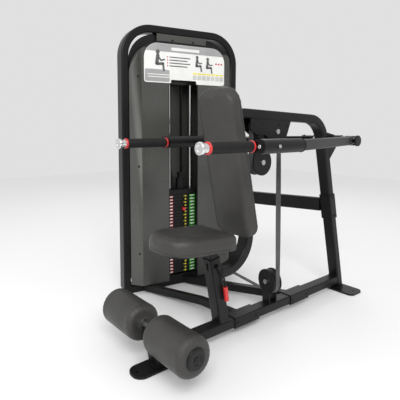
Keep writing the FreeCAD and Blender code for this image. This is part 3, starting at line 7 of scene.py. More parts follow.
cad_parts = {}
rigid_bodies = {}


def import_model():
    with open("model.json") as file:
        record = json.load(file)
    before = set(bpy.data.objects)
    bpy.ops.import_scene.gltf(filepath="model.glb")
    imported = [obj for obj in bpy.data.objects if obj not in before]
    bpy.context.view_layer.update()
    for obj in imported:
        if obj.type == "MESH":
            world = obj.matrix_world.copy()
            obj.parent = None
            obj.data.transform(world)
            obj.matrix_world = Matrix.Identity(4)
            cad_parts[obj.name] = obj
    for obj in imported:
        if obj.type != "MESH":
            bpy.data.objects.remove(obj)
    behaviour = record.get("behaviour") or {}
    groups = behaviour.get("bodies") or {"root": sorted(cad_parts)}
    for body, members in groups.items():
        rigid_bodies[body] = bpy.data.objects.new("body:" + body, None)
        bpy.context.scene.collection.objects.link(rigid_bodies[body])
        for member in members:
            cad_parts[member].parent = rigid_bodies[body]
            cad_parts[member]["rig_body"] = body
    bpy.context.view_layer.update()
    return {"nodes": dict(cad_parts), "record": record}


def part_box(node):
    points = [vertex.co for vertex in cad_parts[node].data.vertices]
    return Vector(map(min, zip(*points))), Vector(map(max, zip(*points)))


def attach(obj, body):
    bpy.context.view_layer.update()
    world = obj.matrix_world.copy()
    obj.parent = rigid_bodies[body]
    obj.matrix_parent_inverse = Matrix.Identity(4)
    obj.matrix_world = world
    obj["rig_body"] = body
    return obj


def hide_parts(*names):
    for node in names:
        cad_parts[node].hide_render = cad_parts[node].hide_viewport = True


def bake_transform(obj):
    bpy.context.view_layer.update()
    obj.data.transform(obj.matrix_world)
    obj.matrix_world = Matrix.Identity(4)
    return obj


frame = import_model()
nodes = frame["nodes"]
print("frame loaded:", len(nodes), "nodes")


# Shader groups
# each group gives a value or a normal; the principled shader stays in the material

def link(tree, source, target):
    tree.links.new(source, target)


def newGroup(name, inputs, outputs):
    # A shader node group with float inputs (name, default) and typed outputs.
    group = bpy.data.node_groups.new(name, "ShaderNodeTree")
    for label, default in inputs:
        socket = group.interface.new_socket(label, in_out="INPUT", socket_type="NodeSocketFloat")
        socket.default_value = default
    for label, kind in outputs:
        group.interface.new_socket(label, in_out="OUTPUT", socket_type=kind)
    start = group.nodes.new("NodeGroupInput")
    end = group.nodes.new("NodeGroupOutput")
    return group, start, end


def addNoise(tree, scale, detail, roughness=0.55, vector=None):
    noise = tree.nodes.new("ShaderNodeTexNoise")
    noise.inputs["Detail"].default_value = detail
    noise.inputs["Roughness"].default_value = roughness
    if isinstance(scale, (int, float)):
        noise.inputs["Scale"].default_value = scale
    else:
        link(tree, scale, noise.inputs["Scale"])
    if vector is None:
        vector = tree.nodes.new("ShaderNodeTexCoord").outputs["Object"]
    link(tree, vector, noise.inputs["Vector"])
    return noise


def addMath(tree, kind, a, b=None, clamp=False):
    node = tree.nodes.new("ShaderNodeMath")
    node.operation = kind
    node.use_clamp = clamp
    for i, value in enumerate((a, b)):
        if value is None:
            continue
        if isinstance(value, (int, float)):
            node.inputs[i].default_value = value
        else:
            link(tree, value, node.inputs[i])
    return node.outputs[0]


def addRange(tree, value, low, high, outLow, outHigh):
    node = tree.nodes.new("ShaderNodeMapRange")
    node.inputs["From Min"].default_value = low
    node.inputs["From Max"].default_value = high
    node.inputs["To Min"].default_value = outLow
    node.inputs["To Max"].default_value = outHigh
    link(tree, value, node.inputs["Value"])
    return node.outputs["Result"]


def addBump(tree, distance, strength, height, end):
    # A height turned into the group's normal.
    bump = tree.nodes.new("ShaderNodeBump")
    bump.inputs["Distance"].default_value = distance
    link(tree, strength, bump.inputs["Strength"])
    link(tree, height, bump.inputs["Height"])
    link(tree, bump.outputs["Normal"], end.inputs["Normal"])


def addStretch(tree, scale, turn=(0.0, 0.0, 0.0)):
    # Object coordinates drawn out into lines.
    coords = tree.nodes.new("ShaderNodeTexCoord")
    stretch = tree.nodes.new("ShaderNodeMapping")
    stretch.inputs["Scale"].default_value = scale
    stretch.inputs["Rotation"].default_value = turn
    link(tree, coords.outputs["Object"], stretch.inputs["Vector"])
    return stretch.outputs["Vector"]


def makeGrainGroup():
    # Fine pebbled surface: powder paint, moulded plastic or cast iron by its sizes.
    group, start, end = newGroup(
        "fineGrain", [("Scale", 900.0), ("Strength", 0.1), ("Coarse", 60.0)],
        [("Normal", "NodeSocketVector"), ("Height", "NodeSocketFloat")],
    )
    fine = addNoise(group, start.outputs["Scale"], 3.0)
    coarse = addNoise(group, start.outputs["Coarse"], 2.0)
    height = addMath(group, "ADD", fine.outputs["Fac"], coarse.outputs["Fac"])
    addBump(group, 0.0006, start.outputs["Strength"], height, end)
    link(group, height, end.inputs["Height"])
    return group


def makeScuffGroup():
    # Thin scratches and rubbed patches, 0 where clean and 1 where worn.
    group, start, end = newGroup("scuffs", [("Amount", 0.4)], [("Mask", "NodeSocketFloat")])
    lines = addNoise(group, 1.0, 4.0, 0.7, addStretch(group, (18.0, 220.0, 140.0), (0.3, 0.2, 0.6)))
    patches = addNoise(group, 7.0, 3.0)
    thin = addRange(group, lines.outputs["Fac"], 0.62, 0.72, 0.0, 1.0)
    worn = addRange(group, patches.outputs["Fac"], 0.5, 0.7, 0.0, 1.0)
    both = addMath(group, "MULTIPLY", thin, worn, True)
    link(group, addMath(group, "MULTIPLY", both, start.outputs["Amount"], True), end.inputs["Mask"])
    return group


def makeDustGroup():
    # Dust that gathers on upward faces, in patches.
    group, start, end = newGroup("dust", [("Amount", 0.3)], [("Mask", "NodeSocketFloat")])
    geometry = group.nodes.new("ShaderNodeNewGeometry")
    split = group.nodes.new("ShaderNodeSeparateXYZ")
    link(group, geometry.outputs["Normal"], split.inputs["Vector"])
    upward = addRange(group, split.outputs["Z"], 0.5, 1.0, 0.0, 1.0)
    cloud = addNoise(group, 14.0, 5.0, 0.65)
    spread = addRange(group, cloud.outputs["Fac"], 0.4, 0.7, 0.15, 1.0)
    both = addMath(group, "MULTIPLY", upward, spread, True)
    link(group, addMath(group, "MULTIPLY", both, start.outputs["Amount"], True), end.inputs["Mask"])
    return group


def makeHideGroup():
    # Vinyl hide: small creased cells over a slow unevenness.
    group, start, end = newGroup(
        "hideGrain", [("Cells", 520.0), ("Strength", 0.25)],
        [("Normal", "NodeSocketVector"), ("CreaseShade", "NodeSocketFloat")],
    )
    coords = group.nodes.new("ShaderNodeTexCoord")
    cells = group.nodes.new("ShaderNodeTexVoronoi")
    cells.feature = "DISTANCE_TO_EDGE"
    link(group, start.outputs["Cells"], cells.inputs["Scale"])
    wobble = addNoise(group, 60.0, 3.0)
    mix = group.nodes.new("ShaderNodeVectorMath")
    mix.operation = "MULTIPLY_ADD"
    link(group, wobble.outputs["Color"], mix.inputs[0])
    mix.inputs[1].default_value = (0.004, 0.004, 0.004)
    link(group, coords.outputs["Object"], mix.inputs[2])
    link(group, mix.outputs["Vector"], cells.inputs["Vector"])
    creaseShade = addRange(group, cells.outputs["Distance"], 0.0, 0.12, 0.0, 1.0)
    slow = addNoise(group, 22.0, 4.0)
    height = addMath(group, "ADD", creaseShade, addMath(group, "MULTIPLY", slow.outputs["Fac"], 2.2))
    addBump(group, 0.0007, start.outputs["Strength"], height, end)
    # this crease mask also sets the painted shade in the vinyl's colour
    link(group, creaseShade, end.inputs["CreaseShade"])
    return group


def makeBrushGroup():
    # Fine upright lines for drawn and turned steel.
    group, start, end = newGroup(
        "brushed", [("Strength", 0.15)],
        [("Normal", "NodeSocketVector"), ("Streak", "NodeSocketFloat")],
    )
    lines = addNoise(group, 1.0, 3.0, 0.6, addStretch(group, (900.0, 900.0, 25.0)))
    addBump(group, 0.0002, start.outputs["Strength"], lines.outputs["Fac"], end)
    link(group, lines.outputs["Fac"], end.inputs["Streak"])
    return group


grainGroup = makeGrainGroup()
scuffGroup = makeScuffGroup()
dustGroup = makeDustGroup()
hideGroup = makeHideGroup()
brushGroup = makeBrushGroup()
print("shader groups made")


# Materials

def useGroup(tree, group, **values):
    node = tree.nodes.new("ShaderNodeGroup")
    node.node_tree = group
    for label, value in values.items():
        node.inputs[label].default_value = value
    return node


def mixColor(tree, factor, a, b):
    # Mix two colours; each is a tuple or a socket.
    node = tree.nodes.new("ShaderNodeMix")
    node.data_type = "RGBA"
    for label, value in (("A", a), ("B", b)):
        socket = [s for s in node.inputs if s.name == label and s.type == "RGBA"][0]
        if isinstance(value, tuple):
            socket.default_value = value
        else:
            link(tree, value, socket)
    if isinstance(factor, (int, float)):
        node.inputs[0].default_value = factor
    else:
        link(tree, factor, node.inputs[0])
    return [s for s in node.outputs if s.type == "RGBA"][0]


def rgb(r, g, b):
    return (r, g, b, 1.0)


def startMaterial(name):
    material = bpy.data.materials.new(name)
    material.use_nodes = True
    tree = material.node_tree
    return material, tree, tree.nodes["Principled BSDF"]


def baseTone(tree, tone, look):
    # Slow drift between a finish's dark and light shades.
    share = addRange(tree, tone.outputs["Fac"], 0.3, 0.7, 0.0, 1.0)
    return mixColor(tree, share, look["dark"], look["light"])


def powderPaint(name, look):
    # Powder-coated steel: orange peel, faint scuffs, a little dust on top.
    material, tree, shader = startMaterial(name)
    grain = useGroup(tree, grainGroup, Scale=look["grain"], Strength=look["bump"], Coarse=look["coarse"])
    scuffs = useGroup(tree, scuffGroup, Amount=look["scuff"])
    dust = useGroup(tree, dustGroup, Amount=look["dust"])
    tone = addNoise(tree, 4.0, 3.0)
    base = baseTone(tree, tone, look)
    rubbed = mixColor(tree, scuffs.outputs["Mask"], base, look["worn"])
    color = mixColor(tree, dust.outputs["Mask"], rubbed, rgb(0.32, 0.31, 0.29))
    link(tree, color, shader.inputs["Base Color"])
    rough = addRange(tree, grain.outputs["Height"], 0.6, 1.4, look["rough"] - 0.06, look["rough"] + 0.08)
    rough = addMath(tree, "ADD", rough, addMath(tree, "MULTIPLY", dust.outputs["Mask"], 0.4), True)
    link(tree, rough, shader.inputs["Roughness"])
    shader.inputs["Metallic"].default_value = look["metal"]
    shader.inputs["Specular IOR Level"].default_value = look["sheen"]
    shader.inputs["Coat Weight"].default_value = look["coat"]
    shader.inputs["Coat Roughness"].default_value = 0.25
    link(tree, grain.outputs["Normal"], shader.inputs["Normal"])
    return material


def vinylSkin(name, look):
    # Padded vinyl: hide grain, painted shade darkening the creases, polished where it is sat on.
    material, tree, shader = startMaterial(name)
    hide = useGroup(tree, hideGroup, Cells=look["cells"], Strength=look["bump"])
    dust = useGroup(tree, dustGroup, Amount=look["dust"])
    tone = addNoise(tree, 9.0, 4.0)
    base = baseTone(tree, tone, look)
    # painted shade: the grain's creases are darkened in the colour
    creaseShaded = mixColor(tree, addMath(tree, "SUBTRACT", 1.0, hide.outputs["CreaseShade"]), base, look["creaseShade"])
    color = mixColor(tree, dust.outputs["Mask"], creaseShaded, rgb(0.3, 0.29, 0.27))
    link(tree, color, shader.inputs["Base Color"])
    polish = addRange(tree, tone.outputs["Fac"], 0.3, 0.7, look["rough"] + 0.08, look["rough"] - 0.08)
    link(tree, polish, shader.inputs["Roughness"])
    shader.inputs["Specular IOR Level"].default_value = 0.45
    link(tree, hide.outputs["Normal"], shader.inputs["Normal"])
    return material


def bareMetal(name, look):
    # Drawn, plated or polished steel with streaks and small marks.
    material, tree, shader = startMaterial(name)
    brush = useGroup(tree, brushGroup, Strength=look["bump"])
    scuffs = useGroup(tree, scuffGroup, Amount=look["scuff"])
    streak = addRange(tree, brush.outputs["Streak"], 0.3, 0.7, 0.0, 1.0)
    color = mixColor(tree, streak, look["dark"], look["light"])
    link(tree, mixColor(tree, scuffs.outputs["Mask"], color, look["worn"]), shader.inputs["Base Color"])
    rough = addRange(tree, brush.outputs["Streak"], 0.2, 0.8, look["rough"] - 0.04, look["rough"] + 0.06)
    link(tree, rough, shader.inputs["Roughness"])
    shader.inputs["Metallic"].default_value = 1.0
    link(tree, brush.outputs["Normal"], shader.inputs["Normal"])
    return material


def moulded(name, look):
    # Moulded plastic or rubber with a fine texture.
    material, tree, shader = startMaterial(name)
    grain = useGroup(tree, grainGroup, Scale=look["grain"], Strength=look["bump"], Coarse=look["coarse"])
    scuffs = useGroup(tree, scuffGroup, Amount=look["scuff"])
    tone = addNoise(tree, 12.0, 3.0)
    base = baseTone(tree, tone, look)
    link(tree, mixColor(tree, scuffs.outputs["Mask"], base, look["worn"]), shader.inputs["Base Color"])
    rough = addRange(tree, grain.outputs["Height"], 0.6, 1.4, look["rough"] - 0.05, look["rough"] + 0.07)
    link(tree, rough, shader.inputs["Roughness"])
    shader.inputs["Coat Weight"].default_value = look["coat"]
    shader.inputs["Specular IOR Level"].default_value = look.get("sheen", 0.5)
    link(tree, grain.outputs["Normal"], shader.inputs["Normal"])
    return material


framePaint = powderPaint("frame_paint", dict(
    dark=rgb(0.0045, 0.0045, 0.0048), light=rgb(0.0075, 0.0075, 0.0080), worn=rgb(0.030, 0.030, 0.032),
    grain=1400.0, coarse=260.0, bump=0.20, scuff=0.25, dust=0.02, rough=0.36, metal=0.0, coat=0.04,
    sheen=0.22,
))
shroudPaint = powderPaint("shroud_paint", dict(
    dark=rgb(0.062, 0.063, 0.057), light=rgb(0.078, 0.079, 0.072), worn=rgb(0.13, 0.13, 0.125),
    grain=1500.0, coarse=240.0, bump=0.10, scuff=0.15, dust=0.03, rough=0.28, metal=0.35, coat=0.25,
    sheen=0.5,
))
# the darkest vinyl colour is painted shade for the grain's creases
vinyl = vinylSkin("vinyl", dict(
    dark=rgb(0.034, 0.033, 0.031), light=rgb(0.042, 0.041, 0.038), creaseShade=rgb(0.018, 0.017, 0.016),
    cells=620.0, bump=0.30, dust=0.0, rough=0.44,
))
castIron = powderPaint("plate_iron", dict(
    dark=rgb(0.006, 0.006, 0.007), light=rgb(0.012, 0.012, 0.013), worn=rgb(0.06, 0.06, 0.06),
    grain=700.0, coarse=120.0, bump=0.5, scuff=0.3, dust=0.06, rough=0.5, metal=0.1, coat=0.0,
    sheen=0.3,
))
steel = bareMetal("steel", dict(
    dark=rgb(0.42, 0.42, 0.43), light=rgb(0.62, 0.62, 0.63), worn=rgb(0.2, 0.19, 0.18),
    bump=0.2, scuff=0.35, rough=0.28,
))
chrome = bareMetal("chrome_steel", dict(
    dark=rgb(0.70, 0.70, 0.71), light=rgb(0.82, 0.82, 0.83), worn=rgb(0.5, 0.5, 0.5),
    bump=0.04, scuff=0.15, rough=0.09,
))
rubber = moulded("black_rubber", dict(
    dark=rgb(0.006, 0.006, 0.006), light=rgb(0.010, 0.010, 0.010), worn=rgb(0.03, 0.03, 0.03),
    grain=1200.0, coarse=200.0, bump=0.4, scuff=0.3, rough=0.55, coat=0.0, sheen=0.25,
))
redPlastic = moulded("red_plastic", dict(
    dark=rgb(0.50, 0.012, 0.014), light=rgb(0.62, 0.02, 0.02), worn=rgb(0.7, 0.2, 0.2),
    grain=900.0, coarse=160.0, bump=0.08, scuff=0.2, rough=0.3, coat=0.4,
))
blackPlastic = moulded("black_plastic", dict(
    dark=rgb(0.005, 0.005, 0.005), light=rgb(0.009, 0.009, 0.010), worn=rgb(0.04, 0.04, 0.04),
    grain=1000.0, coarse=180.0, bump=0.18, scuff=0.25, rough=0.4, coat=0.04, sheen=0.25,
))
whitePlastic = moulded("white_plastic", dict(
    dark=rgb(0.74, 0.74, 0.72), light=rgb(0.82, 0.82, 0.80), worn=rgb(0.5, 0.5, 0.48),
    grain=800.0, coarse=90.0, bump=0.05, scuff=0.2, rough=0.35, coat=0.2,
))
beltSkin = moulded("belt_rubber", dict(
    dark=rgb(0.045, 0.045, 0.047), light=rgb(0.075, 0.075, 0.078), worn=rgb(0.16, 0.16, 0.16),
    grain=2200.0, coarse=400.0, bump=0.5, scuff=0.3, rough=0.55, coat=0.0,
))
slotMaterials = {
    "frame_paint": framePaint, "shroud_paint": shroudPaint, "vinyl": vinyl, "plate_iron": castIron,
    "steel": steel, "chrome_steel": chrome, "black_rubber": rubber, "red_plastic": redPlastic,
    "black_plastic": blackPlastic, "white_plastic": whitePlastic, "belt_rubber": beltSkin,
}
for part in frame["record"]["subparts"]:
    mesh = nodes[part["node"]].data
    mesh.materials.clear()
    mesh.materials.append(slotMaterials[part["material_slot"]])
print("materials made:", len(slotMaterials))


# Camera, floor and light

viewLook = dict(
    place=(1.3464, -0.8738, 0.9960), pitch=5.1, turn=51.6, lens=36.37,
    shiftX=0.0328, shiftY=-0.0898,
)
cameraData = bpy.data.cameras.new("camera")
cameraData.sensor_width = 36.0
cameraData.lens = viewLook["lens"]
cameraData.shift_x = viewLook["shiftX"]
cameraData.shift_y = viewLook["shiftY"]
camera = bpy.data.objects.new("camera", cameraData)
camera.location = viewLook["place"]
camera.rotation_euler = (math.radians(90 - viewLook["pitch"]), 0.0, math.radians(viewLook["turn"]))
bpy.context.scene.collection.objects.link(camera)
bpy.context.scene.camera = camera

stageLook = dict(floor=14.0, white=0.92, sky=0.75, target=(-0.2, 0.6, 0.6))
lampLook = dict(  # place, width and power
    key=((2.6, -1.6, 3.2), 2.2, 120.0),
    fill=((-1.6, -3.0, 2.2), 2.6, 22.0),
    rim=((-2.8, 3.2, 2.8), 2.0, 18.0),
)


def makeFloor():
    mesh = bpy.data.meshes.new("floor")
    half = stageLook["floor"] / 2
    corners = [(-half, -half, 0), (half, -half, 0), (half, half, 0), (-half, half, 0)]
    mesh.from_pydata(corners, [], [(0, 1, 2, 3)])
    floor = bpy.data.objects.new("floor", mesh)
    bpy.context.scene.collection.objects.link(floor)
    material, _, shader = startMaterial("floor_white")
    shade = stageLook["white"]
    shader.inputs["Base Color"].default_value = rgb(shade, shade, shade)
    shader.inputs["Roughness"].default_value = 0.7
    mesh.materials.append(material)


def addLight(name, place, target, width, power):
    data = bpy.data.lights.new(name, "AREA")
    data.energy = power
    data.shape = "RECTANGLE"
    data.size = width
    data.size_y = width * 0.7
    lamp = bpy.data.objects.new(name, data)
    lamp.location = place
    lamp.rotation_euler = (Vector(target) - Vector(place)).to_track_quat("-Z", "Y").to_euler()
    bpy.context.scene.collection.objects.link(lamp)


makeFloor()
for name, (place, width, power) in lampLook.items():
    addLight(name, place, stageLook["target"], width, power)
world = bpy.data.worlds.new("studio")
world.use_nodes = True
background = world.node_tree.nodes["Background"]
background.inputs["Color"].default_value = (1.0, 1.0, 1.0, 1.0)
background.inputs["Strength"].default_value = stageLook["sky"]
bpy.context.scene.world = world
bpy.context.scene.view_settings.view_transform = "Standard"
print("camera and lights set")


# Building helpers

def linkObject(obj):
    bpy.context.scene.collection.objects.link(obj)
    return obj


def dress(obj, material, body, stands=(), smooth=True):
    # Give a finished piece its material, body and the CAD nodes it stands for.
    obj.data.materials.clear()
    obj.data.materials.append(material)
    for polygon in obj.data.polygons:
        polygon.use_smooth = smooth
    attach(obj, body)
    if stands:
        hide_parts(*stands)
    return obj


def fromMesh(name, mesh):
    mesh.name = name
    return linkObject(bpy.data.objects.new(name, mesh))


def buildMesh(name, verts, faces):
    mesh = bpy.data.meshes.new(name)
    mesh.from_pydata([tuple(v) for v in verts], [], faces)
    mesh.validate()
    work = bmesh.new()
    work.from_mesh(mesh)
    bmesh.ops.recalc_face_normals(work, faces=work.faces)
    work.to_mesh(mesh)
    work.free()
    return mesh


def frameOf(origin, axis, up=Vector((0, 0, 1))):
    # A matrix whose Z runs along an axis from an origin.
    z = Vector(axis).normalized()
    x = up.cross(z)
    if x.length < 1e-6:
        x = Vector((1, 0, 0))
    x.normalize()
    y = z.cross(x)
    turn = Matrix((x, y, z)).transposed().to_4x4()
    return Matrix.Translation(origin) @ turn


def latheMesh(name, profile, origin, axis, segments=72):
    # Turn (radius, distance) pairs about an axis; a radius of zero closes the end.
    place = frameOf(origin, axis)
    verts = []
    rows = []
    for radius, along in profile:
        if radius < 1e-6:
            rows.append([len(verts)])
            verts.append(place @ Vector((0, 0, along)))
            continue
        rows.append(list(range(len(verts), len(verts) + segments)))
        for i in range(segments):
            a = 2 * math.pi * i / segments
            verts.append(place @ Vector((radius * math.cos(a), radius * math.sin(a), along)))
    faces = []
    for low, high in zip(rows, rows[1:]):
        for i in range(segments):
            j = (i + 1) % segments
            if len(low) == 1 and len(high) == 1:
                continue
            if len(low) == 1:
                faces.append((low[0], high[j], high[i]))
            elif len(high) == 1:
                faces.append((low[i], low[j], high[0]))
            else:
                faces.append((low[i], low[j], high[j], high[i]))
    return buildMesh(name, verts, faces)


def roundProfile(points, radius, steps=5):
    # Round the inner corners of an open profile with small arcs.
    result = [points[0]]
    for before, here, after in zip(points, points[1:], points[2:]):
        a = Vector(before) - Vector(here)
        b = Vector(after) - Vector(here)
        reach = min(radius, a.length * 0.45, b.length * 0.45)
        start = Vector(here) + a.normalized() * reach
        end = Vector(here) + b.normalized() * reach
        for i in range(steps + 1):
            t = i / steps
            result.append(tuple(start * (1 - t) ** 2 + Vector(here) * 2 * t * (1 - t) + end * t ** 2))
    result.append(points[-1])
    return result


def blockMesh(name, low, high, place=Matrix.Identity(4), edge=0.001, segments=3):
    # A box with softened edges, from a low to a high corner in a placed frame.
    work = bmesh.new()
    bmesh.ops.create_cube(work, size=1.0)
    low, high = Vector(low), Vector(high)
    size, middle = high - low, (high + low) / 2
    for v in work.verts:
        v.co = Vector((v.co.x * size.x, v.co.y * size.y, v.co.z * size.z)) + middle
    if edge > 0:
        bmesh.ops.bevel(work, geom=work.edges[:], offset=edge, segments=segments, profile=0.6, affect="EDGES")
    bmesh.ops.transform(work, matrix=place, verts=work.verts[:])
    mesh = bpy.data.meshes.new(name)
    work.to_mesh(mesh)
    work.free()
    return mesh


def plaqueMesh(name, outline, thick, place, edge=0.0006, steps=2):
    # A flat shape in its own XY plane, given thickness and a soft rim.
    work = bmesh.new()
    ring = [work.verts.new((x, y, 0)) for x, y in outline]
    face = work.faces.new(ring)
    grown = bmesh.ops.extrude_face_region(work, geom=[face])
    lifted = [v for v in grown["geom"] if isinstance(v, bmesh.types.BMVert)]
    bmesh.ops.translate(work, verts=lifted, vec=(0, 0, thick))
    bmesh.ops.recalc_face_normals(work, faces=work.faces)
    rim = [e for e in work.edges if all(v in lifted for v in e.verts)]
    if edge > 0:
        bmesh.ops.bevel(work, geom=rim, offset=edge, segments=steps, profile=0.5, affect="EDGES")
    bmesh.ops.transform(work, matrix=place, verts=work.verts[:])
    mesh = bpy.data.meshes.new(name)
    work.to_mesh(mesh)
    work.free()
    return mesh


def cornerArcs(corners, steps):
    # Quarter arcs from (x, y, starting degrees, radius) corners, joined into one outline.
    points = []
    for cx, cy, start, radius in corners:
        for i in range(steps + 1):
            a = math.radians(start + 90 * i / steps)
            points.append((cx + radius * math.cos(a), cy + radius * math.sin(a)))
    return points


def roundedOutline(x0, y0, x1, y1, radius, steps=6):
    return cornerArcs([
        (x1 - radius, y0 + radius, -90, radius), (x1 - radius, y1 - radius, 0, radius),
        (x0 + radius, y1 - radius, 90, radius), (x0 + radius, y0 + radius, 180, radius),
    ], steps)


def rodProfile(radius, long):
    # Section of a plain closed rod, for turning.
    return [(0.0, 0.0), (radius, 0.0), (radius, long), (0.0, long)]


def boxMiddle(node):
    low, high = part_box(node)
    return (low + high) / 2


def turnedBox(node, turn):
    # A node's middle and half sizes, measured in a turned frame.
    back = turn.to_3x3().inverted()
    points = [back @ v.co for v in nodes[node].data.vertices]
    low = Vector([min(p[i] for p in points) for i in range(3)])
    high = Vector([max(p[i] for p in points) for i in range(3)])
    middle = turn.to_3x3() @ ((low + high) / 2)
    return middle, (high - low) / 2


# Geometry node trees

def newTree(name, inputs):
    tree = bpy.data.node_groups.new(name, "GeometryNodeTree")
    tree.interface.new_socket("Geometry", in_out="INPUT", socket_type="NodeSocketGeometry")
    for label, kind in inputs:
        tree.interface.new_socket(label, in_out="INPUT", socket_type=kind)
    tree.interface.new_socket("Geometry", in_out="OUTPUT", socket_type="NodeSocketGeometry")
    return tree, tree.nodes.new("NodeGroupInput"), tree.nodes.new("NodeGroupOutput")


def finishTree(tree, start, end, instances):
    realize = tree.nodes.new("GeometryNodeRealizeInstances")
    paint = tree.nodes.new("GeometryNodeSetMaterial")
    link(tree, instances, realize.inputs["Geometry"])
    link(tree, realize.outputs["Geometry"], paint.inputs["Geometry"])
    link(tree, start.outputs["Material"], paint.inputs["Material"])
    link(tree, paint.outputs["Geometry"], end.inputs["Geometry"])


def makeCopiesTree():
    # A copy of one shape at each point, turned by the point's own 'turn'.
    tree, start, end = newTree("placeCopies", [
        ("Shape", "NodeSocketObject"), ("Material", "NodeSocketMaterial"),
    ])
    info = tree.nodes.new("GeometryNodeObjectInfo")
    link(tree, start.outputs["Shape"], info.inputs["Object"])
    named = tree.nodes.new("GeometryNodeInputNamedAttribute")
    named.data_type = "FLOAT_VECTOR"
    named.inputs["Name"].default_value = "turn"
    turn = tree.nodes.new("FunctionNodeEulerToRotation")
    link(tree, named.outputs["Attribute"], turn.inputs["Euler"])
    copies = tree.nodes.new("GeometryNodeInstanceOnPoints")
    link(tree, start.outputs["Geometry"], copies.inputs["Points"])
    link(tree, info.outputs["Geometry"], copies.inputs["Instance"])
    link(tree, turn.outputs["Rotation"], copies.inputs["Rotation"])
    finishTree(tree, start, end, copies.outputs["Instances"])
    return tree


def makeAlongTree():
    # Copies of one shape spaced along a path and lined up with it.
    tree, start, end = newTree("placeAlong", [
        ("Shape", "NodeSocketObject"), ("Spacing", "NodeSocketFloat"),
        ("Wobble", "NodeSocketFloat"), ("Material", "NodeSocketMaterial"),
    ])
    info = tree.nodes.new("GeometryNodeObjectInfo")
    link(tree, start.outputs["Shape"], info.inputs["Object"])
    path = tree.nodes.new("GeometryNodeMeshToCurve")
    link(tree, start.outputs["Geometry"], path.inputs["Mesh"])
    even = tree.nodes.new("GeometryNodeResampleCurve")
    even.mode = "LENGTH"
    link(tree, path.outputs["Curve"], even.inputs["Curve"])
    link(tree, start.outputs["Spacing"], even.inputs["Length"])
    tangent = tree.nodes.new("GeometryNodeInputTangent")
    align = tree.nodes.new("FunctionNodeAlignRotationToVector")
    align.axis = "X"
    link(tree, tangent.outputs["Tangent"], align.inputs["Vector"])
    grow = tree.nodes.new("FunctionNodeRandomValue")
    grow.data_type = "FLOAT"
    floats = [s for s in grow.inputs if s.type == "VALUE" and s.name in ("Min", "Max")]
    least = tree.nodes.new("ShaderNodeMath")
    least.operation = "SUBTRACT"
    least.inputs[0].default_value = 1.0
    link(tree, start.outputs["Wobble"], least.inputs[1])
    link(tree, least.outputs[0], floats[0])
    floats[1].default_value = 1.0
    grow.inputs["Seed"].default_value = 7
    copies = tree.nodes.new("GeometryNodeInstanceOnPoints")
    link(tree, even.outputs["Curve"], copies.inputs["Points"])
    link(tree, info.outputs["Geometry"], copies.inputs["Instance"])
    link(tree, align.outputs["Rotation"], copies.inputs["Rotation"])
    size = [s for s in grow.outputs if s.type == "VALUE"][0]
    link(tree, size, copies.inputs["Scale"])
    finishTree(tree, start, end, copies.outputs["Instances"])
    return tree


copiesTree = makeCopiesTree()
alongTree = makeAlongTree()


def evaluatedMesh(obj):
    # The plain mesh that an object's modifiers or curve settings make.
    bpy.context.view_layer.update()
    done = obj.evaluated_get(bpy.context.evaluated_depsgraph_get())
    return bpy.data.meshes.new_from_object(done)


def runTree(name, source, tree, **values):
    # Run a tree on a mesh once and keep the plain result.
    holder = linkObject(bpy.data.objects.new(name + "_source", source))
    modifier = holder.modifiers.new("tree", "NODES")
    modifier.node_group = tree
    for item in tree.interface.items_tree:
        if item.in_out == "INPUT" and item.name in values:
            modifier[item.identifier] = values[item.name]
    mesh = evaluatedMesh(holder)
    bpy.data.objects.remove(holder)
    return fromMesh(name, mesh)


def copyAt(name, shape, places, material, body, stands=(), smooth=True):
    # Copies of one mesh at (point, axis, spin) places, as one piece.
    points = bpy.data.meshes.new(name + "_points")
    points.from_pydata([tuple(p[0]) for p in places], [], [])
    turns = points.attributes.new("turn", "FLOAT_VECTOR", "POINT")
    for i, (point, axis, spin) in enumerate(places):
        turn = frameOf(point, axis).to_3x3() @ Matrix.Rotation(spin, 3, "Z")
        turns.data[i].vector = turn.to_euler()
    holder = linkObject(bpy.data.objects.new(name + "_shape", shape))
    piece = runTree(name, points, copiesTree, Shape=holder, Material=material)
    bpy.data.objects.remove(holder)
    return dress(piece, material, body, stands, smooth)


def copyAlong(name, shape, paths, spacing, wobble, material, body):
    # Copies of one mesh along closed or open point lists, as one piece.
    verts, edges = [], []
    for path, closed in paths:
        first = len(verts)
        verts += [tuple(p) for p in path]
        edges += [(first + i, first + i + 1) for i in range(len(path) - 1)]
        if closed:
            edges.append((first + len(path) - 1, first))
    lines = bpy.data.meshes.new(name + "_lines")
    lines.from_pydata(verts, edges, [])
    holder = linkObject(bpy.data.objects.new(name + "_shape", shape))
    piece = runTree(name, lines, alongTree, Shape=holder, Spacing=spacing, Wobble=wobble, Material=material)
    bpy.data.objects.remove(holder)
    return dress(piece, material, body)


def ballMesh(name, sx, sy, sz):
    work = bmesh.new()
    bmesh.ops.create_uvsphere(work, u_segments=10, v_segments=6, radius=1.0)
    for v in work.verts:
        v.co = Vector((v.co.x * sx, v.co.y * sy, v.co.z * sz))
    mesh = bpy.data.meshes.new(name)
    work.to_mesh(mesh)
    work.free()
    return mesh


def cordMesh(name, path, radius):
    # A thin round bead along a closed list of points.
    curve = bpy.data.curves.new(name, "CURVE")
    curve.dimensions = "3D"
    curve.bevel_depth = radius
    curve.bevel_resolution = 3
    spline = curve.splines.new("POLY")
    spline.points.add(len(path) - 1)
    for point, where in zip(spline.points, path):
        point.co = (*where, 1.0)
    spline.use_cyclic_u = True
    holder = linkObject(bpy.data.objects.new(name + "_curve", curve))
    mesh = evaluatedMesh(holder)
    bpy.data.objects.remove(holder)
    return mesh


print("helpers ready")


# Seat and back cushions

def padTurn(degrees):
    return Matrix.Rotation(math.radians(degrees), 4, "X")


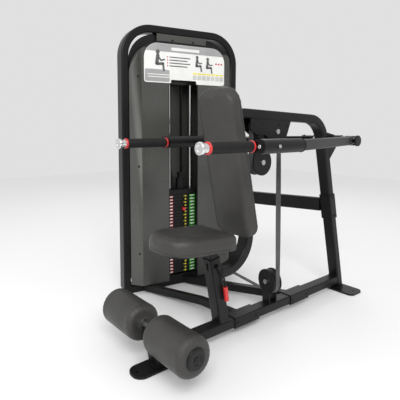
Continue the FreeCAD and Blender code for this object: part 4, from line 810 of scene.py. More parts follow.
seatLook = dict(
    turn=-3.5, normal=(0, 0, 1), voxel=0.005, pressure=4.0, cap=0.0045, seam=0.16, bead=0.0016,
    frontRadius=0.112, rearRadius=0.035, edge=0.022,
)
backLook = dict(
    turn=12.0, normal=(0, -1, 0), voxel=0.005, pressure=4.0, cap=0.0045, seam=0.16, bead=0.0016,
    frontRadius=0.062, rearRadius=0.078, edge=0.020,
)


def padForm(node, look):
    # The pad's closed form: rounded corners of two sizes and a broad soft rim.
    turn = padTurn(look["turn"])
    middle, half = turnedBox(node, turn)
    flat = look["normal"][2] == 1
    wide = half.x
    long = half.y if flat else half.z
    thick = half.z if flat else half.y
    front, rear = look["frontRadius"], look["rearRadius"]
    points = cornerArcs([
        (wide - front, -long + front, -90, front), (wide - rear, long - rear, 0, rear),
        (-wide + rear, long - rear, 90, rear), (-wide + front, -long + front, 180, front),
    ], 12)
    if flat:
        facing = Matrix.Identity(4)
    else:
        facing = Matrix(((1, 0, 0, 0), (0, 0, -1, 0), (0, 1, 0, 0), (0, 0, 0, 1)))
    place = Matrix.Translation(middle) @ turn @ facing @ Matrix.Translation((0, 0, -thick))
    return plaqueMesh(node + "_form", points, 2 * thick, place, edge=look["edge"], steps=8)


def puffed(node, look):
    # The pad's closed form, remeshed and blown up a little like stuffed vinyl.
    obj = fromMesh(node + "_skin", padForm(node, look))
    remesh = obj.modifiers.new("remesh", "REMESH")
    remesh.mode = "VOXEL"
    remesh.voxel_size = look["voxel"]
    plain = evaluatedMesh(obj)
    obj.modifiers.clear()
    obj.data = plain
    rest = [v.co.copy() for v in obj.data.vertices]
    inflate(obj, look, rest)
    smoothing = obj.modifiers.new("smooth", "SMOOTH")
    smoothing.factor = 0.5
    smoothing.iterations = 6
    finer = obj.modifiers.new("finer", "SUBSURF")
    finer.levels = 1
    final = evaluatedMesh(obj)
    obj.modifiers.clear()
    obj.data = final
    return obj


clothLook = dict(frames=20, quality=4, mass=0.4, tension=25.0, compression=12.0, bending=1.5)


def inflate(obj, look, rest):
    # Cloth pressure for a few frames, each point kept within a cap of its start.
    turn = padTurn(look["turn"]).to_3x3()
    out = turn @ Vector(look["normal"])
    depth = [p.dot(out) for p in rest]
    floor = min(depth) + 0.006
    pinned = obj.vertex_groups.new(name="held")
    pinned.add([i for i, d in enumerate(depth) if d < floor], 1.0, "REPLACE")
    cloth = obj.modifiers.new("cloth", "CLOTH")
    cloth.settings.vertex_group_mass = "held"
    cloth.settings.use_pressure = True
    cloth.settings.uniform_pressure_force = look["pressure"]
    cloth.settings.effector_weights.gravity = 0.0
    cloth.settings.quality = clothLook["quality"]
    cloth.settings.mass = clothLook["mass"]
    cloth.settings.tension_stiffness = clothLook["tension"]
    cloth.settings.compression_stiffness = clothLook["compression"]
    cloth.settings.bending_stiffness = clothLook["bending"]
    cloth.collision_settings.use_collision = False
    scene = bpy.context.scene
    cloth.point_cache.frame_start = 1
    cloth.point_cache.frame_end = clothLook["frames"]
    for number in range(1, clothLook["frames"] + 1):
        scene.frame_set(number)
    done = obj.evaluated_get(bpy.context.evaluated_depsgraph_get())
    moved = [v.co.copy() for v in done.data.vertices]
    obj.modifiers.clear()
    scene.frame_set(1)
    for vertex, before, after in zip(obj.data.vertices, rest, moved):
        shift = after - before
        if shift.length > look["cap"]:
            shift = shift.normalized() * look["cap"]
        vertex.co = before + shift
    obj.vertex_groups.clear()


def seamPath(obj, look, share):
    # The pad's outline at a share of its thickness, read off its own skin.
    turn = padTurn(look["turn"]).to_3x3()
    out = Vector(look["normal"])
    local = [turn.inverted() @ v.co for v in obj.data.vertices]
    depth = [p.dot(out) for p in local]
    low, high = min(depth), max(depth)
    level = low + (high - low) * share
    band = [p for p, d in zip(local, depth) if abs(d - level) < 0.005]
    flat = [(p.x, p.y if out.z else p.z) for p in band]
    cx = sum(p[0] for p in flat) / len(flat)
    cy = sum(p[1] for p in flat) / len(flat)
    best = {}
    count = 240
    for x, y in flat:
        slotNumber = int((math.atan2(y - cy, x - cx) + math.pi) / (2 * math.pi) * count) % count
        reach = math.hypot(x - cx, y - cy)
        if reach > best.get(slotNumber, (0, 0, 0))[0]:
            best[slotNumber] = (reach, x, y)
    path = []
    for i in range(count):
        if i in best:
            reach, x, y = best[i]
            point = Vector((x, y, level)) if out.z else Vector((x, -level, y))
            path.append(turn @ point)
    return path


def softPad(node, body, look):
    # A stuffed vinyl cushion with piping along its lower seam.
    skin = puffed(node, look)
    dress(skin, vinyl, body, [node])
    path = seamPath(skin, look, look["seam"])
    piping = fromMesh(node + "_piping", cordMesh(node + "_piping", path, look["bead"]))
    dress(piping, vinyl, body)


softPad("seat_pad", "seat", seatLook)
softPad("back_pad", "frame", backLook)
print("cushions made")


# Leg rollers

rollerLook = dict(
    radius=0.0795, bore=0.0165, edge=0.026, seam=0.0003, cap=0.043, capHigh=0.008, capSunk=0.0083,
    bolt=0.011, pleat=0.0007, pleats=26, sag=0.0009, gather=0.035,
)


def makeRoller(node, body, side):
    # Foam roller in a vinyl sleeve: pleated ends, two sewn rings, an end cap and its bolt.
    low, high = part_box(node)
    centre = (low + high) / 2
    inner = min(abs(low.x), abs(high.x))
    outer = max(abs(low.x), abs(high.x)) - rollerLook["capSunk"]
    long = outer - inner
    start = Vector((side * inner, centre.y, centre.z))
    r = rollerLook["radius"]
    edge = rollerLook["edge"]
    bore = rollerLook["bore"]
    profile = [(bore, 0.0), (bore, 0.004), (r * 0.45, 0.0005), (r - edge, 0.0)]
    for i in range(1, 9):
        a = math.radians(90 * i / 8)
        profile.append((r - edge + edge * math.sin(a), edge - edge * math.cos(a)))
    profile.append((r, edge + 0.002))
    ring = rollerLook["seam"]
    for share in (0.16, 0.84):
        at = long * share
        profile += [(r, at - 0.003), (r - ring, at - 0.0008), (r - ring, at + 0.0008), (r, at + 0.003)]
    for i in range(8, 0, -1):
        a = math.radians(90 * i / 8)
        profile.append((r - edge + edge * math.sin(a), long - edge + edge * math.cos(a)))
    profile += [(r - edge, long), (r * 0.45, long - 0.0005), (bore, long - 0.004), (bore, long)]
    mesh = latheMesh(node + "_foam", profile, start, Vector((side, 0, 0)), 128)
    for vertex in mesh.vertices:
        along = abs(vertex.co.x) - inner
        away = Vector((0, vertex.co.y - centre.y, vertex.co.z - centre.z))
        nearEnd = max(0.0, 1.0 - min(along, long - along) / rollerLook["gather"])
        angle = math.atan2(away.z, away.y)
        pleat = rollerLook["pleat"] * nearEnd * math.sin(angle * rollerLook["pleats"])
        sag = rollerLook["sag"] * math.sin(angle * 3 + along * 40)
        if away.length > 0.03:
            vertex.co += away.normalized() * (pleat + sag)
    foam = dress(fromMesh(node + "_foam", mesh), vinyl, body, [node])
    cap = rollerLook["cap"]
    tall = rollerLook["capHigh"]
    capProfile = roundProfile([
        (0.0, long - 0.004), (cap, long - 0.004), (cap, long + tall * 0.5), (cap * 0.86, long + tall),
        (0.020, long + tall), (0.018, long + tall * 0.55), (0.0, long + tall * 0.55),
    ], 0.002)
    bolt = rollerLook["bolt"]
    boltProfile = roundProfile([
        (0.0, long + tall * 0.5), (bolt, long + tall * 0.5), (bolt, long + tall * 0.9),
        (0.0055, long + tall), (0.005, long + tall * 0.7), (0.0, long + tall * 0.7),
    ], 0.001)
    for ending, profile, segments in (("_cap", capProfile, 72), ("_bolt", boltProfile, 32)):
        mesh = latheMesh(node + ending, profile, start, Vector((side, 0, 0)), segments)
        dress(fromMesh(node + ending, mesh), blackPlastic, body)


makeRoller("roller_left", "roller_left_body", 1)
makeRoller("roller_right", "roller_right_body", -1)
print("rollers made")


# Handles

gripLook = dict(
    radius=0.0218, bore=0.0162, ridge=0.0008, pitch=0.0062, plain=0.004, ring=0.0236, ringWide=0.008,
)


def makeGrip(node, body):
    # Moulded rubber grip with shallow ridges round it.
    low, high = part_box(node)
    middle = (low + high) / 2
    start = Vector((middle.x, low.y, middle.z))
    long = high.y - low.y
    r = gripLook["radius"]
    profile = [(gripLook["bore"], 0.0), (r, 0.0)]
    at = gripLook["plain"]
    p = gripLook["pitch"]
    groove = r - gripLook["ridge"]
    while at < long - p - gripLook["plain"]:
        profile += [(r, at), (r, at + p * 0.45), (groove, at + p * 0.62), (groove, at + p * 0.83)]
        at += p
    profile += [(r, at), (r, long), (gripLook["bore"], long)]
    mesh = latheMesh(node + "_rubber", profile, start, Vector((0, 1, 0)), 48)
    dress(fromMesh(node + "_rubber", mesh), rubber, body, [node])


def makeRings(node, body):
    # Red end rings of the grip, with rounded rims.
    low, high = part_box(node)
    middle = (low + high) / 2
    wide, bore, rim = gripLook["ringWide"], gripLook["bore"], gripLook["ring"]
    for number, y0 in enumerate((low.y, high.y - wide)):
        start = Vector((middle.x, y0, middle.z))
        profile = roundProfile([(bore, 0.0), (rim, 0.0), (rim, wide), (bore, wide)], 0.0022)
        mesh = latheMesh("%s_%d" % (node, number), profile, start, Vector((0, 1, 0)), 56)
        piece = dress(fromMesh("%s_%d" % (node, number), mesh), redPlastic, body)
    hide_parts(node)


for side in ("left", "right"):
    makeGrip("grip_" + side, "handle_%s_body" % side)
    makeRings("rings_" + side, "handle_%s_body" % side)
print("grips made")


# Weight stack labels

towerTurn = Matrix.Rotation(math.radians(-10.0), 4, "Z")
towerCorner = Vector((-0.719, 0.287, 0.0))
towerFrame = Matrix.Translation(towerCorner) @ towerTurn


def towerPoint(out, along, up):
    return towerFrame @ Vector((out, along, up))


stackLook = dict(middle=0.393, back=0.040, deep=0.096, low=0.080, pitch=0.020, count=25, lifted=5)
stackFace = -stackLook["back"] + stackLook["deep"] / 2
towerFront = towerTurn.to_3x3() @ Vector((1, 0, 0))


def printedFilm(name, dark, light, worn):
    # Printed film on the weight labels and the placard.
    return moulded(name, dict(
        dark=rgb(*dark), light=rgb(*light), worn=rgb(*worn),
        grain=900.0, coarse=90.0, bump=0.03, scuff=0.2, rough=0.4, coat=0.1,
    ))


labelRed = printedFilm("label_red", (0.42, 0.015, 0.015), (0.55, 0.03, 0.03), (0.5, 0.3, 0.3))
labelGreen = printedFilm("label_green", (0.06, 0.48, 0.03), (0.08, 0.58, 0.05), (0.3, 0.4, 0.3))
labelYellow = printedFilm("label_yellow", (0.72, 0.62, 0.02), (0.85, 0.75, 0.04), (0.6, 0.5, 0.3))
labelWhite = printedFilm("label_white", (0.70, 0.70, 0.68), (0.80, 0.80, 0.78), (0.5, 0.5, 0.5))


def stackBody(number):
    return "stack" if number >= stackLook["count"] - stackLook["lifted"] else "frame"


def labelCells(name, along0, along1, material, numbers, high, lift):
    # One small cell on the front edge of each chosen weight plate.
    for body in ("frame", "stack"):
        places = []
        for number in numbers:
            if stackBody(number) != body:
                continue
            z = stackLook["low"] + stackLook["pitch"] * (number + 0.49)
            places.append((towerPoint(stackFace, (along0 + along1) / 2, z), towerFront, 0.0))
        if places:
            half = (along1 - along0) / 2
            low, top = (-half, -high / 2, 0), (half, high / 2, lift)
            cell = blockMesh(name + "_cell", low, top, edge=0.0005, segments=2)
            copyAt(name + "_" + body, cell, places, material, body)


everyPlate = range(stackLook["count"])
cellLook = dict(  # start and end along the stack's front, film, height, thickness, plates per mark
    cellRed=(0.293, 0.322, labelRed, 0.0135, 0.0012, 1),
    cellGreen=(0.438, 0.477, labelGreen, 0.0135, 0.0012, 1),
    cellWhite=(0.297, 0.318, labelWhite, 0.0080, 0.0017, 1),
    cellPale=(0.446, 0.469, labelWhite, 0.0080, 0.0017, 1),
    markYellow=(0.404, 0.415, labelYellow, 0.0085, 0.0012, 1),
    dashYellow=(0.396, 0.402, labelYellow, 0.0045, 0.0012, 2),
)
for name, (near, far, film, high, lift, step) in cellLook.items():
    labelCells(name, near, far, film, everyPlate[::step], high, lift)

# raised eye round each plate's pin hole
eyeProfile = roundProfile([(0.0052, -0.002), (0.0052, 0.0008), (0.0085, 0.0008), (0.0095, 0.0)], 0.0004)
holeRing = latheMesh("hole_ring", eyeProfile, Vector((0, 0, 0)), Vector((0, 0, 1)), 20)
for body in ("frame", "stack"):
    places = []
    for number in everyPlate:
        if stackBody(number) == body:
            z = stackLook["low"] + stackLook["pitch"] * number + 0.0098
            places.append((towerPoint(stackFace, stackLook["middle"], z), towerFront, 0.0))
    copyAt("pin_eyes_" + body, holeRing.copy(), places, castIron, body)
print("stack labels made")


# Placard

placardLook = dict(
    ink=0.0007, large=0.088, small=0.014, tight=0.006, notch=0.086, notchAt=-0.016, step=0.020,
    band=0.046, inset=0.0015,
)


def placardOutline(wide, high):
    # The board's edge: large top corners, small bottom ones, a notch over the slot.
    look = placardLook
    near, far = look["notchAt"] - look["notch"], look["notchAt"] + look["notch"]
    corners = [
        (wide, -high, look["small"]), (wide, high, look["large"]),
        (-wide, high, look["large"]), (-wide, -high, look["small"]),
        (near, -high, look["tight"]), (near, -high + look["step"], look["tight"]),
        (far, -high + look["step"], look["tight"]), (far, -high, look["tight"]),
    ]
    return filletedOutline([c[:2] for c in corners], [c[2] for c in corners])


def headingOutline(wide, high):
    # The grey band that fills the board's rounded top.
    look = placardLook
    r = look["large"] - look["inset"]
    points = []
    fall = math.acos((look["large"] - look["band"]) / look["large"])
    for side in (1, -1):
        cx = side * (wide - look["large"])
        arc = []
        for i in range(13):
            a = fall * i / 12
            arc.append((cx + side * r * math.sin(a), high - look["large"] + r * math.cos(a)))
        points += arc[::-1] if side == 1 else arc
    return points


def filletedOutline(corners, radii, steps=8):
    # A closed outline with each corner rounded by its own radius.
    points = []
    count = len(corners)
    for i, (corner, radius) in enumerate(zip(corners, radii)):
        here = Vector(corner)
        a = (Vector(corners[i - 1]) - here).normalized()
        b = (Vector(corners[(i + 1) % count]) - here).normalized()
        start, end = here + a * radius, here + b * radius
        middle = here + (a + b) * radius
        first = math.atan2((start - middle).y, (start - middle).x)
        last = math.atan2((end - middle).y, (end - middle).x)
        sweep = (last - first + math.pi) % (2 * math.pi) - math.pi
        for k in range(steps + 1):
            t = first + sweep * k / steps
            points.append((middle.x + radius * math.cos(t), middle.y + radius * math.sin(t)))
    return points


def makePlacard():
    # Instruction panel: pale field, grey heading, plain bars and simple figures.
    middle, half = turnedBox("placard", towerTurn)
    turn = frameOf(Vector((0, 0, 0)), towerFront).to_3x3()
    place = Matrix.Translation(middle + towerFront * half.x) @ turn.to_4x4()
    wide, high = half.y, half.z
    ink = placardLook["ink"]
    board = placardOutline(wide, high)
    lift = Matrix.Translation((0, 0, -2 * half.x))
    sheet = plaqueMesh("placard_board", board, 2 * half.x, place @ lift, edge=0.0006)
    dress(fromMesh("placard_board", sheet), whitePlastic, "frame", ["placard"], smooth=False)
    band = headingOutline(wide, high)
    heading = plaqueMesh("placard_heading", band, ink, place, edge=0.0002)
    dress(fromMesh("placard_heading", heading), placardGrey, "frame", smooth=False)

    def patch(name, x0, y0, x1, y1, material, radius=0.002, lift=0.0):
        outline = roundedOutline(x0, y0, x1, y1, radius)
        mesh = plaqueMesh(name, outline, ink, place @ Matrix.Translation((0, 0, lift)), edge=0.0002)
        dress(fromMesh(name, mesh), material, "frame", smooth=False)

    patch("placard_heading_bar", -0.100, high - 0.036, 0.090, high - 0.019, labelWhite, 0.006, ink)
    patch("placard_cell", -wide + 0.004, -high + 0.006, -0.112, -high + 0.076, placardGrey, 0.008)
    for row in range(4):
        y = high - 0.078 - row * 0.017
        lineEnd = -wide + 0.30 - 0.02 * (row % 2)
        patch("placard_line_%d" % row, -wide + 0.16, y, lineEnd, y + 0.006, placardInk, 0.002)
        patch("placard_dot_%d" % row, -wide + 0.145, y - 0.001, -wide + 0.152, y + 0.007, labelRed, 0.003)
    for row in range(2):
        y = -high + 0.030 + row * 0.014
        patch("placard_base_%d" % row, -wide + 0.020, y, -wide + 0.165, y + 0.005, labelWhite, 0.002, ink)
    figure("placard_figure_seat", place, -wide + 0.085, high - 0.125, 1.5, placardInk, "frame")
    figure("placard_figure_start", place, 0.075, high - 0.120, 1.15, placardInk, "frame")
    figure("placard_figure_end", place, 0.150, high - 0.126, 1.15, placardInk, "frame")
    for number, x in enumerate((0.205, 0.225, 0.245)):
        patch("placard_mark_%d" % number, x, high - 0.098, x + 0.012, high - 0.088, labelRed, 0.003)
    for number in range(7):
        x = 0.045 + number * 0.032
        patch("placard_scale_%d" % number, x, -high + 0.060, x + 0.026, -high + 0.069, labelYellow, 0.002)
        patch("placard_column_%d" % number, x, -high + 0.028, x + 0.026, -high + 0.055, placardPale, 0.002)


def figure(name, place, x, y, grow, material, body):
    # A plain seated figure of bars with round ends: head, body, thigh, shin, upper arm and forearm.
    parts = [
        ((0.000, 0.050), (0.000, 0.050), 0.0085),
        ((0.000, 0.036), (-0.004, 0.006), 0.0075),
        ((-0.004, 0.004), (0.022, 0.006), 0.0055),
        ((0.022, 0.006), (0.026, -0.020), 0.0045),
        ((0.002, 0.032), (0.014, 0.018), 0.0032),
        ((0.014, 0.018), (0.028, 0.022), 0.0030),
    ]
    work = bmesh.new()
    for a, b, r in parts:
        a, b = Vector(a), Vector(b)
        run = b - a
        start = math.atan2(run.y, run.x) if run.length else 0.0
        ring = []
        for i in range(20):
            t = start + math.pi / 2 + 2 * math.pi * i / 20
            end = a if i < 10 else b
            across = x + (end.x + r * math.cos(t)) * grow
            up = y + (end.y + r * math.sin(t)) * grow
            ring.append(work.verts.new((across, up, placardLook["ink"] * 1.2)))
        work.faces.new(ring)
    bmesh.ops.transform(work, matrix=place, verts=work.verts[:])
    mesh = bpy.data.meshes.new(name)
    work.to_mesh(mesh)
    work.free()
    normal = place.to_3x3() @ Vector((0, 0, 1))
    if any(p.normal.dot(normal) < 0 for p in mesh.polygons):
        mesh.flip_normals()
    dress(fromMesh(name, mesh), material, body, smooth=False)


placardGrey = printedFilm("placard_grey", (0.30, 0.30, 0.30), (0.36, 0.36, 0.36), (0.5, 0.5, 0.5))
placardInk = printedFilm("placard_ink", (0.09, 0.09, 0.09), (0.12, 0.12, 0.12), (0.4, 0.4, 0.4))
placardPale = printedFilm("placard_pale", (0.50, 0.50, 0.47), (0.58, 0.58, 0.55), (0.4, 0.4, 0.4))
makePlacard()
print("placard made")


# Fasteners

boltLook = dict(radius=0.008, high=0.0045, socket=0.0035, through=0.010, sunk=0.004)
shroudScrewLook = dict(radius=0.0065, high=0.0035, socket=0.0028, sunk=0.0016)
handleScrewLook = dict(radius=0.0085, high=0.004, socket=0.0036)


def buttonHead(name, look):
    # A button-head screw with a six-sided socket, seated at its origin.
    radius, high, socket = look["radius"], look["high"], look["socket"]
    rows = [
        (radius, 0.0), (radius, high * 0.25), (radius * 0.9, high * 0.62),
        (radius * 0.68, high * 0.92), (socket * 1.35, high),
    ]
    verts, faces = [], []
    segments = 24
    for r, z in rows:
        for i in range(segments):
            a = 2 * math.pi * i / segments
            verts.append(Vector((r * math.cos(a), r * math.sin(a), z)))
    for row in range(len(rows) - 1):
        for i in range(segments):
            j = (i + 1) % segments
            a, b = row * segments, (row + 1) * segments
            faces.append((a + i, a + j, b + j, b + i))
    top = (len(rows) - 1) * segments
    first = len(verts)
    for z in (high, high * 0.35):
        for i in range(segments):
            a = 2 * math.pi * i / segments
            sector = (a % (math.pi / 3)) - math.pi / 6
            r = socket * math.cos(math.pi / 6) / math.cos(sector)
            verts.append(Vector((r * math.cos(a), r * math.sin(a), z)))
    for i in range(segments):
        j = (i + 1) % segments
        faces.append((top + i, top + j, first + j, first + i))
        faces.append((first + i, first + j, first + segments + j, first + segments + i))
    faces.append(tuple(first + segments + i for i in range(segments)))
    return buildMesh(name, verts, faces)


def mergedCopy(node):
    # A CAD node's mesh with its loose triangles joined up.
    work = bmesh.new()
    work.from_mesh(nodes[node].data)
    bmesh.ops.remove_doubles(work, verts=work.verts[:], dist=0.00002)
    return work


def vertexGroups(work):
    # The vertices of each separate solid.
    seen, groups = set(), []
    for vertex in work.verts:
        if vertex in seen:
            continue
        waiting, group = [vertex], []
        seen.add(vertex)
        while waiting:
            v = waiting.pop()
            group.append(v)
            for edge in v.link_edges:
                other = edge.other_vert(v)
                if other not in seen:
                    seen.add(other)
                    waiting.append(other)
        groups.append(group)
    return groups


def islands(node):
    # Each separate solid of a node as its list of points.
    work = mergedCopy(node)
    groups = [[v.co.copy() for v in group] for group in vertexGroups(work)]
    work.free()
    return groups


def creaseShading(mesh, degrees):
    # Soft shading that keeps edges sharper than an angle.
    mesh.polygons.foreach_set("use_smooth", [True] * len(mesh.polygons))
    mesh.set_sharp_from_angle(angle=math.radians(degrees))


def middleOf(points):
    low = Vector([min(p[i] for p in points) for i in range(3)])
    high = Vector([max(p[i] for p in points) for i in range(3)])
    return (low + high) / 2, high - low


def seatHeads():
    # Bolts of the frame, seated where their plain heads stand.
    places = []
    for points in islands("frame_bolts"):
        middle, size = middleOf(points)
        side = 1 if middle.x > 0 else -1
        if size.x > boltLook["through"]:  # a bolt right through shows its head on one side
            outward = Vector((size.x / 2 - boltLook["sunk"], 0, 0))
            places.append((middle + outward, Vector((1, 0, 0)), 0.2))
            continue
        places.append((middle - Vector((side * size.x / 2, 0, 0)), Vector((side, 0, 0)), middle.y * 9))
    head = buttonHead("frame_head", boltLook)
    copyAt("frame_button_heads", head, places, blackPlastic, "frame", ["frame_bolts"])


seatHeads()


def shroudHeads():
    # Screws of the front shroud, square to the facet that each one holds.
    places = []
    for points in islands("shroud_screws"):
        middle = middleOf(points)[0]
        local = towerFrame.inverted() @ middle
        if local.y < 0.2:
            axis = Vector((0.7071, -0.7071, 0))
        elif local.y > 0.6:
            axis = Vector((0.687, 0.727, 0))
        else:
            axis = Vector((1, 0, 0))
        axis = towerTurn.to_3x3() @ axis
        places.append((middle - axis * shroudScrewLook["sunk"], axis, local.z * 7))
    head = buttonHead("shroud_head", shroudScrewLook)
    copyAt("shroud_button_heads", head, places, blackPlastic, "frame", ["shroud_screws"])


shroudHeads()
print("fasteners made")


# Parts of CAD nodes

def islandPiece(name, node, wanted, material, body, stands=(), cutAt=None):
    # The separate solids of a node that pass a test, as one piece; a level can be cut first.
    work = mergedCopy(node)
    if cutAt is not None:
        whole = work.verts[:] + work.edges[:] + work.faces[:]
        cut = bmesh.ops.bisect_plane(work, geom=whole, plane_co=(0, 0, cutAt), plane_no=(0, 0, 1))["geom_cut"]
        bmesh.ops.split_edges(work, edges=[e for e in cut if isinstance(e, bmesh.types.BMEdge)])
    drop = []
    for group in vertexGroups(work):
        middle, size = middleOf([v.co for v in group])
        if not wanted(middle, size):
            drop += group
    bmesh.ops.delete(work, geom=drop, context="VERTS")
    mesh = bpy.data.meshes.new(name)
    work.to_mesh(mesh)
    work.free()
    creaseShading(mesh, 32)
    obj = fromMesh(name, mesh)
    obj.data.materials.clear()
    obj.data.materials.append(material)
    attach(obj, body)
    if stands:
        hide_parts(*stands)
    return obj


def isEndCap(middle, size):
    return abs(middle.x) > 0.170


def isSpacer(middle, size):
    return not isEndCap(middle, size)


islandPiece("axle_end_caps", "axle_collars", isEndCap, blackPlastic, "arms", ["axle_collars"])
islandPiece("axle_spacers", "axle_collars", isSpacer, chrome, "arms", ["axle_collars"])

# three nodes whose finish differs from their slot's
for name, material in (
    ("seat_lever", framePaint), ("selector_stem", castIron), ("top_bracket", shroudPaint),
):
    nodes[name].data.materials[0] = material


# Handles: bright ends and offset plates

handleLook = dict(
    knob=0.0245, knobLong=0.010, neck=0.0192, chamfer=0.003, plate=0.0100, bar=0.016,
    spigot=0.0189, spigotLong=0.2, hubOut=0.315, hubHigh=0.925, hubEnd=0.030, gripEnd=0.023,
)


def makeHandle(side):
    # Bright mushroom end, the bar inside the grip, and the offset plate on its sleeve.
    sign = 1 if side == "left" else -1
    node = "handle_" + side
    body = node + "_body"
    along = Vector((0, 1, 0))
    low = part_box(node)[0]
    centre = boxMiddle("grip_" + side)
    start = Vector((centre.x, low.y, centre.z))
    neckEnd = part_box("rings_" + side)[0].y - low.y
    look = handleLook
    profile = roundProfile([
        (0.0, 0.0015), (0.010, 0.0015), (0.012, 0.0), (look["knob"] - 0.002, 0.0),
        (look["knob"], look["chamfer"]), (look["knob"], look["knobLong"]),
        (look["neck"], look["knobLong"] + 0.004), (look["neck"], neckEnd),
        (0.015, neckEnd), (0.0, neckEnd),
    ], 0.0012)
    knob = latheMesh(node + "_end", profile, start, along, 72)
    dress(fromMesh(node + "_end", knob), chrome, body, [node])
    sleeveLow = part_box("handle_sleeves")[0]
    hub = Vector((sign * look["hubOut"], sleeveLow.y - 0.0005 - look["plate"], look["hubHigh"]))
    rods = (
        ("_bar", look["bar"], hub.y - start.y - neckEnd, start + along * neckEnd, framePaint),
        ("_spigot", look["spigot"], look["spigotLong"], hub + along * look["plate"], steel),
    )
    for ending, radius, long, foot, material in rods:
        rod = latheMesh(node + ending, rodProfile(radius, long), foot, along, 40)
        dress(fromMesh(node + ending, rod), material, body)
    outline = []
    shift = abs(hub.x - centre.x)
    large, small = look["hubEnd"], look["gripEnd"]
    tilt = math.asin((large - small) / shift)
    for i in range(25):
        a = -math.pi / 2 - tilt + (math.pi + 2 * tilt) * i / 24
        outline.append((large * math.cos(a), large * math.sin(a)))
    for i in range(21):
        a = math.pi / 2 + tilt + (math.pi - 2 * tilt) * i / 20
        outline.append((-shift + small * math.cos(a), small * math.sin(a)))
    facing = Matrix((
        (sign, 0, 0, hub.x), (0, 0, 1, hub.y), (0, 1, 0, hub.z), (0, 0, 0, 1),
    ))
    plate = plaqueMesh(node + "_plate", outline, look["plate"], facing, edge=0.0016)
    work = bmesh.new()
    work.from_mesh(plate)
    bmesh.ops.recalc_face_normals(work, faces=work.faces)
    work.to_mesh(plate)
    work.free()
    dress(fromMesh(node + "_plate", plate), framePaint, body, smooth=False)
    screw = buttonHead(node + "_screw", handleScrewLook)
    copyAt(node + "_screw", screw, [(hub, Vector((0, -1, 0)), 0.3)], steel, body)


makeHandle("left")
makeHandle("right")
print("handles made")


# Belt

def makeBelt():
    # The belt in pieces of the CAD belt; the loop over the arm pulley and the last run by the stack are taken
    # off their body and kept in place.
    armZ, topZ, towerZ = [boxMiddle(node).z for node in ("arm_pulley", "top_pulley", "tower_top_pulley")]
    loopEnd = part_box("top_pulley")[0].y + 0.004
    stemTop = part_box("selector_stem")[1].z

    def nearArm(m, s):
        return abs(m.x) < 0.02 and m.y < loopEnd and m.z > 0.7

    def stackRun(m, s):
        local = towerFrame.inverted() @ m
        return m.x < -0.4 and abs(local.y - stackLook["middle"]) < 0.03 and s.z > 0.3 and m.z > 0.8

    def otherRun(m, s):
        return not nearArm(m, s) and not stackRun(m, s)

    loop = islandPiece("belt_arm_loop", "lift_belt", nearArm, beltSkin, "frame", ["lift_belt"])
    cutAt = towerZ - 0.002
    # painted shade: the run down the tower's slot gets black rubber instead of the grey belt rubber, for the
    # shade inside the slot
    drop = islandPiece("belt_stack_run", "lift_belt", stackRun, rubber, "frame", ["lift_belt"], cutAt)
    islandPiece("belt_run", "lift_belt", otherRun, beltSkin, "frame", ["lift_belt"], cutAt)
    for obj, other, start, end in (
        (loop, "arms", (0, 0.6, topZ), (0, 0.6, armZ)),
        (drop, "stack", (0, 0, towerZ), (0, 0, stemTop)),
    ):
        obj.parent = None
        del obj["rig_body"]
        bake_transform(obj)


makeBelt()
print("belt made")


# Weld beads

def ringPath(middle, across, up, halfWide, halfHigh, radius, steps=5):
    # A rounded rectangle of points in a slanted plane.
    points = []
    for x, y in roundedOutline(-halfWide, -halfHigh, halfWide, halfHigh, radius, steps):
        points.append(middle + across * x + up * y)
    return points


weldLook = dict(
    proud=0.001, half=0.0325, corner=0.008, deep=0.0240, postAt=0.398, postDeep=0.0300, legAt=0.035,
    uprightAt=1.391, uprightDeep=0.0242, uprightLean=12.85, legLean=10.9, baseHigh=0.063, baseUp=0.053,
    spacing=0.0021, wobble=0.25, armOut=0.315, armAt=0.5505, armHigh=0.925, armRadius=0.0285,
)


def makeWelds():
    # Rippled beads where the tubes meet their plates and each other.
    look = weldLook
    x = Vector((1, 0, 0))
    y = Vector((0, 1, 0))
    paths = []
    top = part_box("base_tube")[1].z + look["proud"]
    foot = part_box("front_foot")[1].z + look["proud"]
    for along, level, deep in (
        (look["postAt"], top, look["postDeep"]), (look["legAt"], foot, look["deep"]),
        (look["uprightAt"], foot, look["uprightDeep"]),
    ):
        middle = Vector((0, along, level))
        paths.append((ringPath(middle, x, y, look["half"], deep, look["corner"]), True))
    # the base tube's ends, on the upright's front face and the leg post's rear face
    for at, degrees, reach in (
        (look["uprightAt"], look["uprightLean"], -look["deep"]),
        (look["legAt"], look["legLean"], look["deep"]),
    ):
        lean = math.radians(degrees)
        up = Vector((0, -math.sin(lean), math.cos(lean)))
        middle = Vector((0, at - math.tan(lean) * look["baseUp"] + reach, look["baseHigh"]))
        paths.append((ringPath(middle, x, up, look["half"], look["deep"], look["corner"]), True))
    bead = ballMesh("weld_drop", 0.0018, 0.0026, 0.0026)
    copyAlong("frame_welds", bead, paths, look["spacing"], look["wobble"], framePaint, "frame")
    armPaths = []
    r = look["armRadius"]
    for sign in (1, -1):
        end = Vector((sign * look["armOut"], look["armAt"], look["armHigh"]))
        turns = [2 * math.pi * i / 36 for i in range(36)]
        armPaths.append(([end + Vector((r * math.cos(a), 0, r * math.sin(a))) for a in turns], True))
    copyAlong("arm_welds", bead.copy(), armPaths, look["spacing"], look["wobble"], framePaint, "arms")


makeWelds()
print("welds made")


# Tower trim

trimLook = dict(face=0.0555, deep=0.010, proud=0.0008, left=0.276, right=0.468, low=0.060, high=1.290,
                rim=0.004, lap=0.0005)


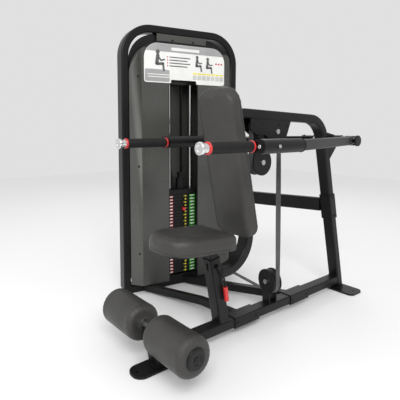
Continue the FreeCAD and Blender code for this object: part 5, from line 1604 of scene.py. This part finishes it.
def makeTowerTrim():
    # Moulded rims down both sides of the slot.
    look = trimLook
    back, front = look["face"] - look["deep"], look["face"] + look["proud"]
    sides = [
        (look["left"] - look["rim"], look["left"] + look["lap"]),
        (look["right"] - look["lap"], look["right"] + look["rim"]),
    ]
    for number, (near, far) in enumerate(sides):
        a, b = (back, near, look["low"]), (front, far, look["high"])
        mesh = blockMesh("slot_rim_%d" % number, a, b, towerFrame, 0.0012, 2)
        dress(fromMesh("slot_rim_%d" % number, mesh), blackPlastic, "frame")


headLook = dict(
    split=1.455, out=-0.030, thick=0.004, left=0.050, right=0.747, low=1.300, high=1.551,
    radius=0.172, foot=0.01,
)


def makeTowerHead():
    # The shroud's dark upper end and the dark panel behind the placard.
    for name, keepTop, material in (
        ("shroud_lower", False, shroudPaint), ("shroud_upper", True, blackPlastic),
    ):
        work = mergedCopy("front_shroud")
        whole = work.verts[:] + work.edges[:] + work.faces[:]
        bmesh.ops.bisect_plane(
            work, geom=whole, plane_co=(0, 0, headLook["split"]), plane_no=(0, 0, 1),
            clear_inner=keepTop, clear_outer=not keepTop,
        )
        rim = [e for e in work.edges if e.is_boundary]
        bmesh.ops.holes_fill(work, edges=rim, sides=0)
        mesh = bpy.data.meshes.new(name)
        work.to_mesh(mesh)
        work.free()
        creaseShading(mesh, 30)
        piece = fromMesh(name, mesh)
        piece.data.materials.clear()
        piece.data.materials.append(material)
        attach(piece, "frame")
        if material is shroudPaint:
            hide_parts("front_shroud")
    look = headLook
    facing = towerFrame @ Matrix(((0, 0, 1, look["out"]), (1, 0, 0, 0), (0, 1, 0, 0), (0, 0, 0, 1)))
    corners = [
        (look["right"], look["low"]), (look["right"], look["high"]),
        (look["left"], look["high"]), (look["left"], look["low"]),
    ]
    outline = filletedOutline(corners, [look["foot"], look["radius"], look["radius"], look["foot"]], 14)
    panel = plaqueMesh("head_panel", outline, look["thick"], facing, edge=0.0008)
    dress(fromMesh("head_panel", panel), blackPlastic, "frame", smooth=False)


makeTowerTrim()
makeTowerHead()
print("tower trim made")

for node in nodes.values():
    creaseShading(node.data, 32)
print("shading set on", len(nodes), "nodes")
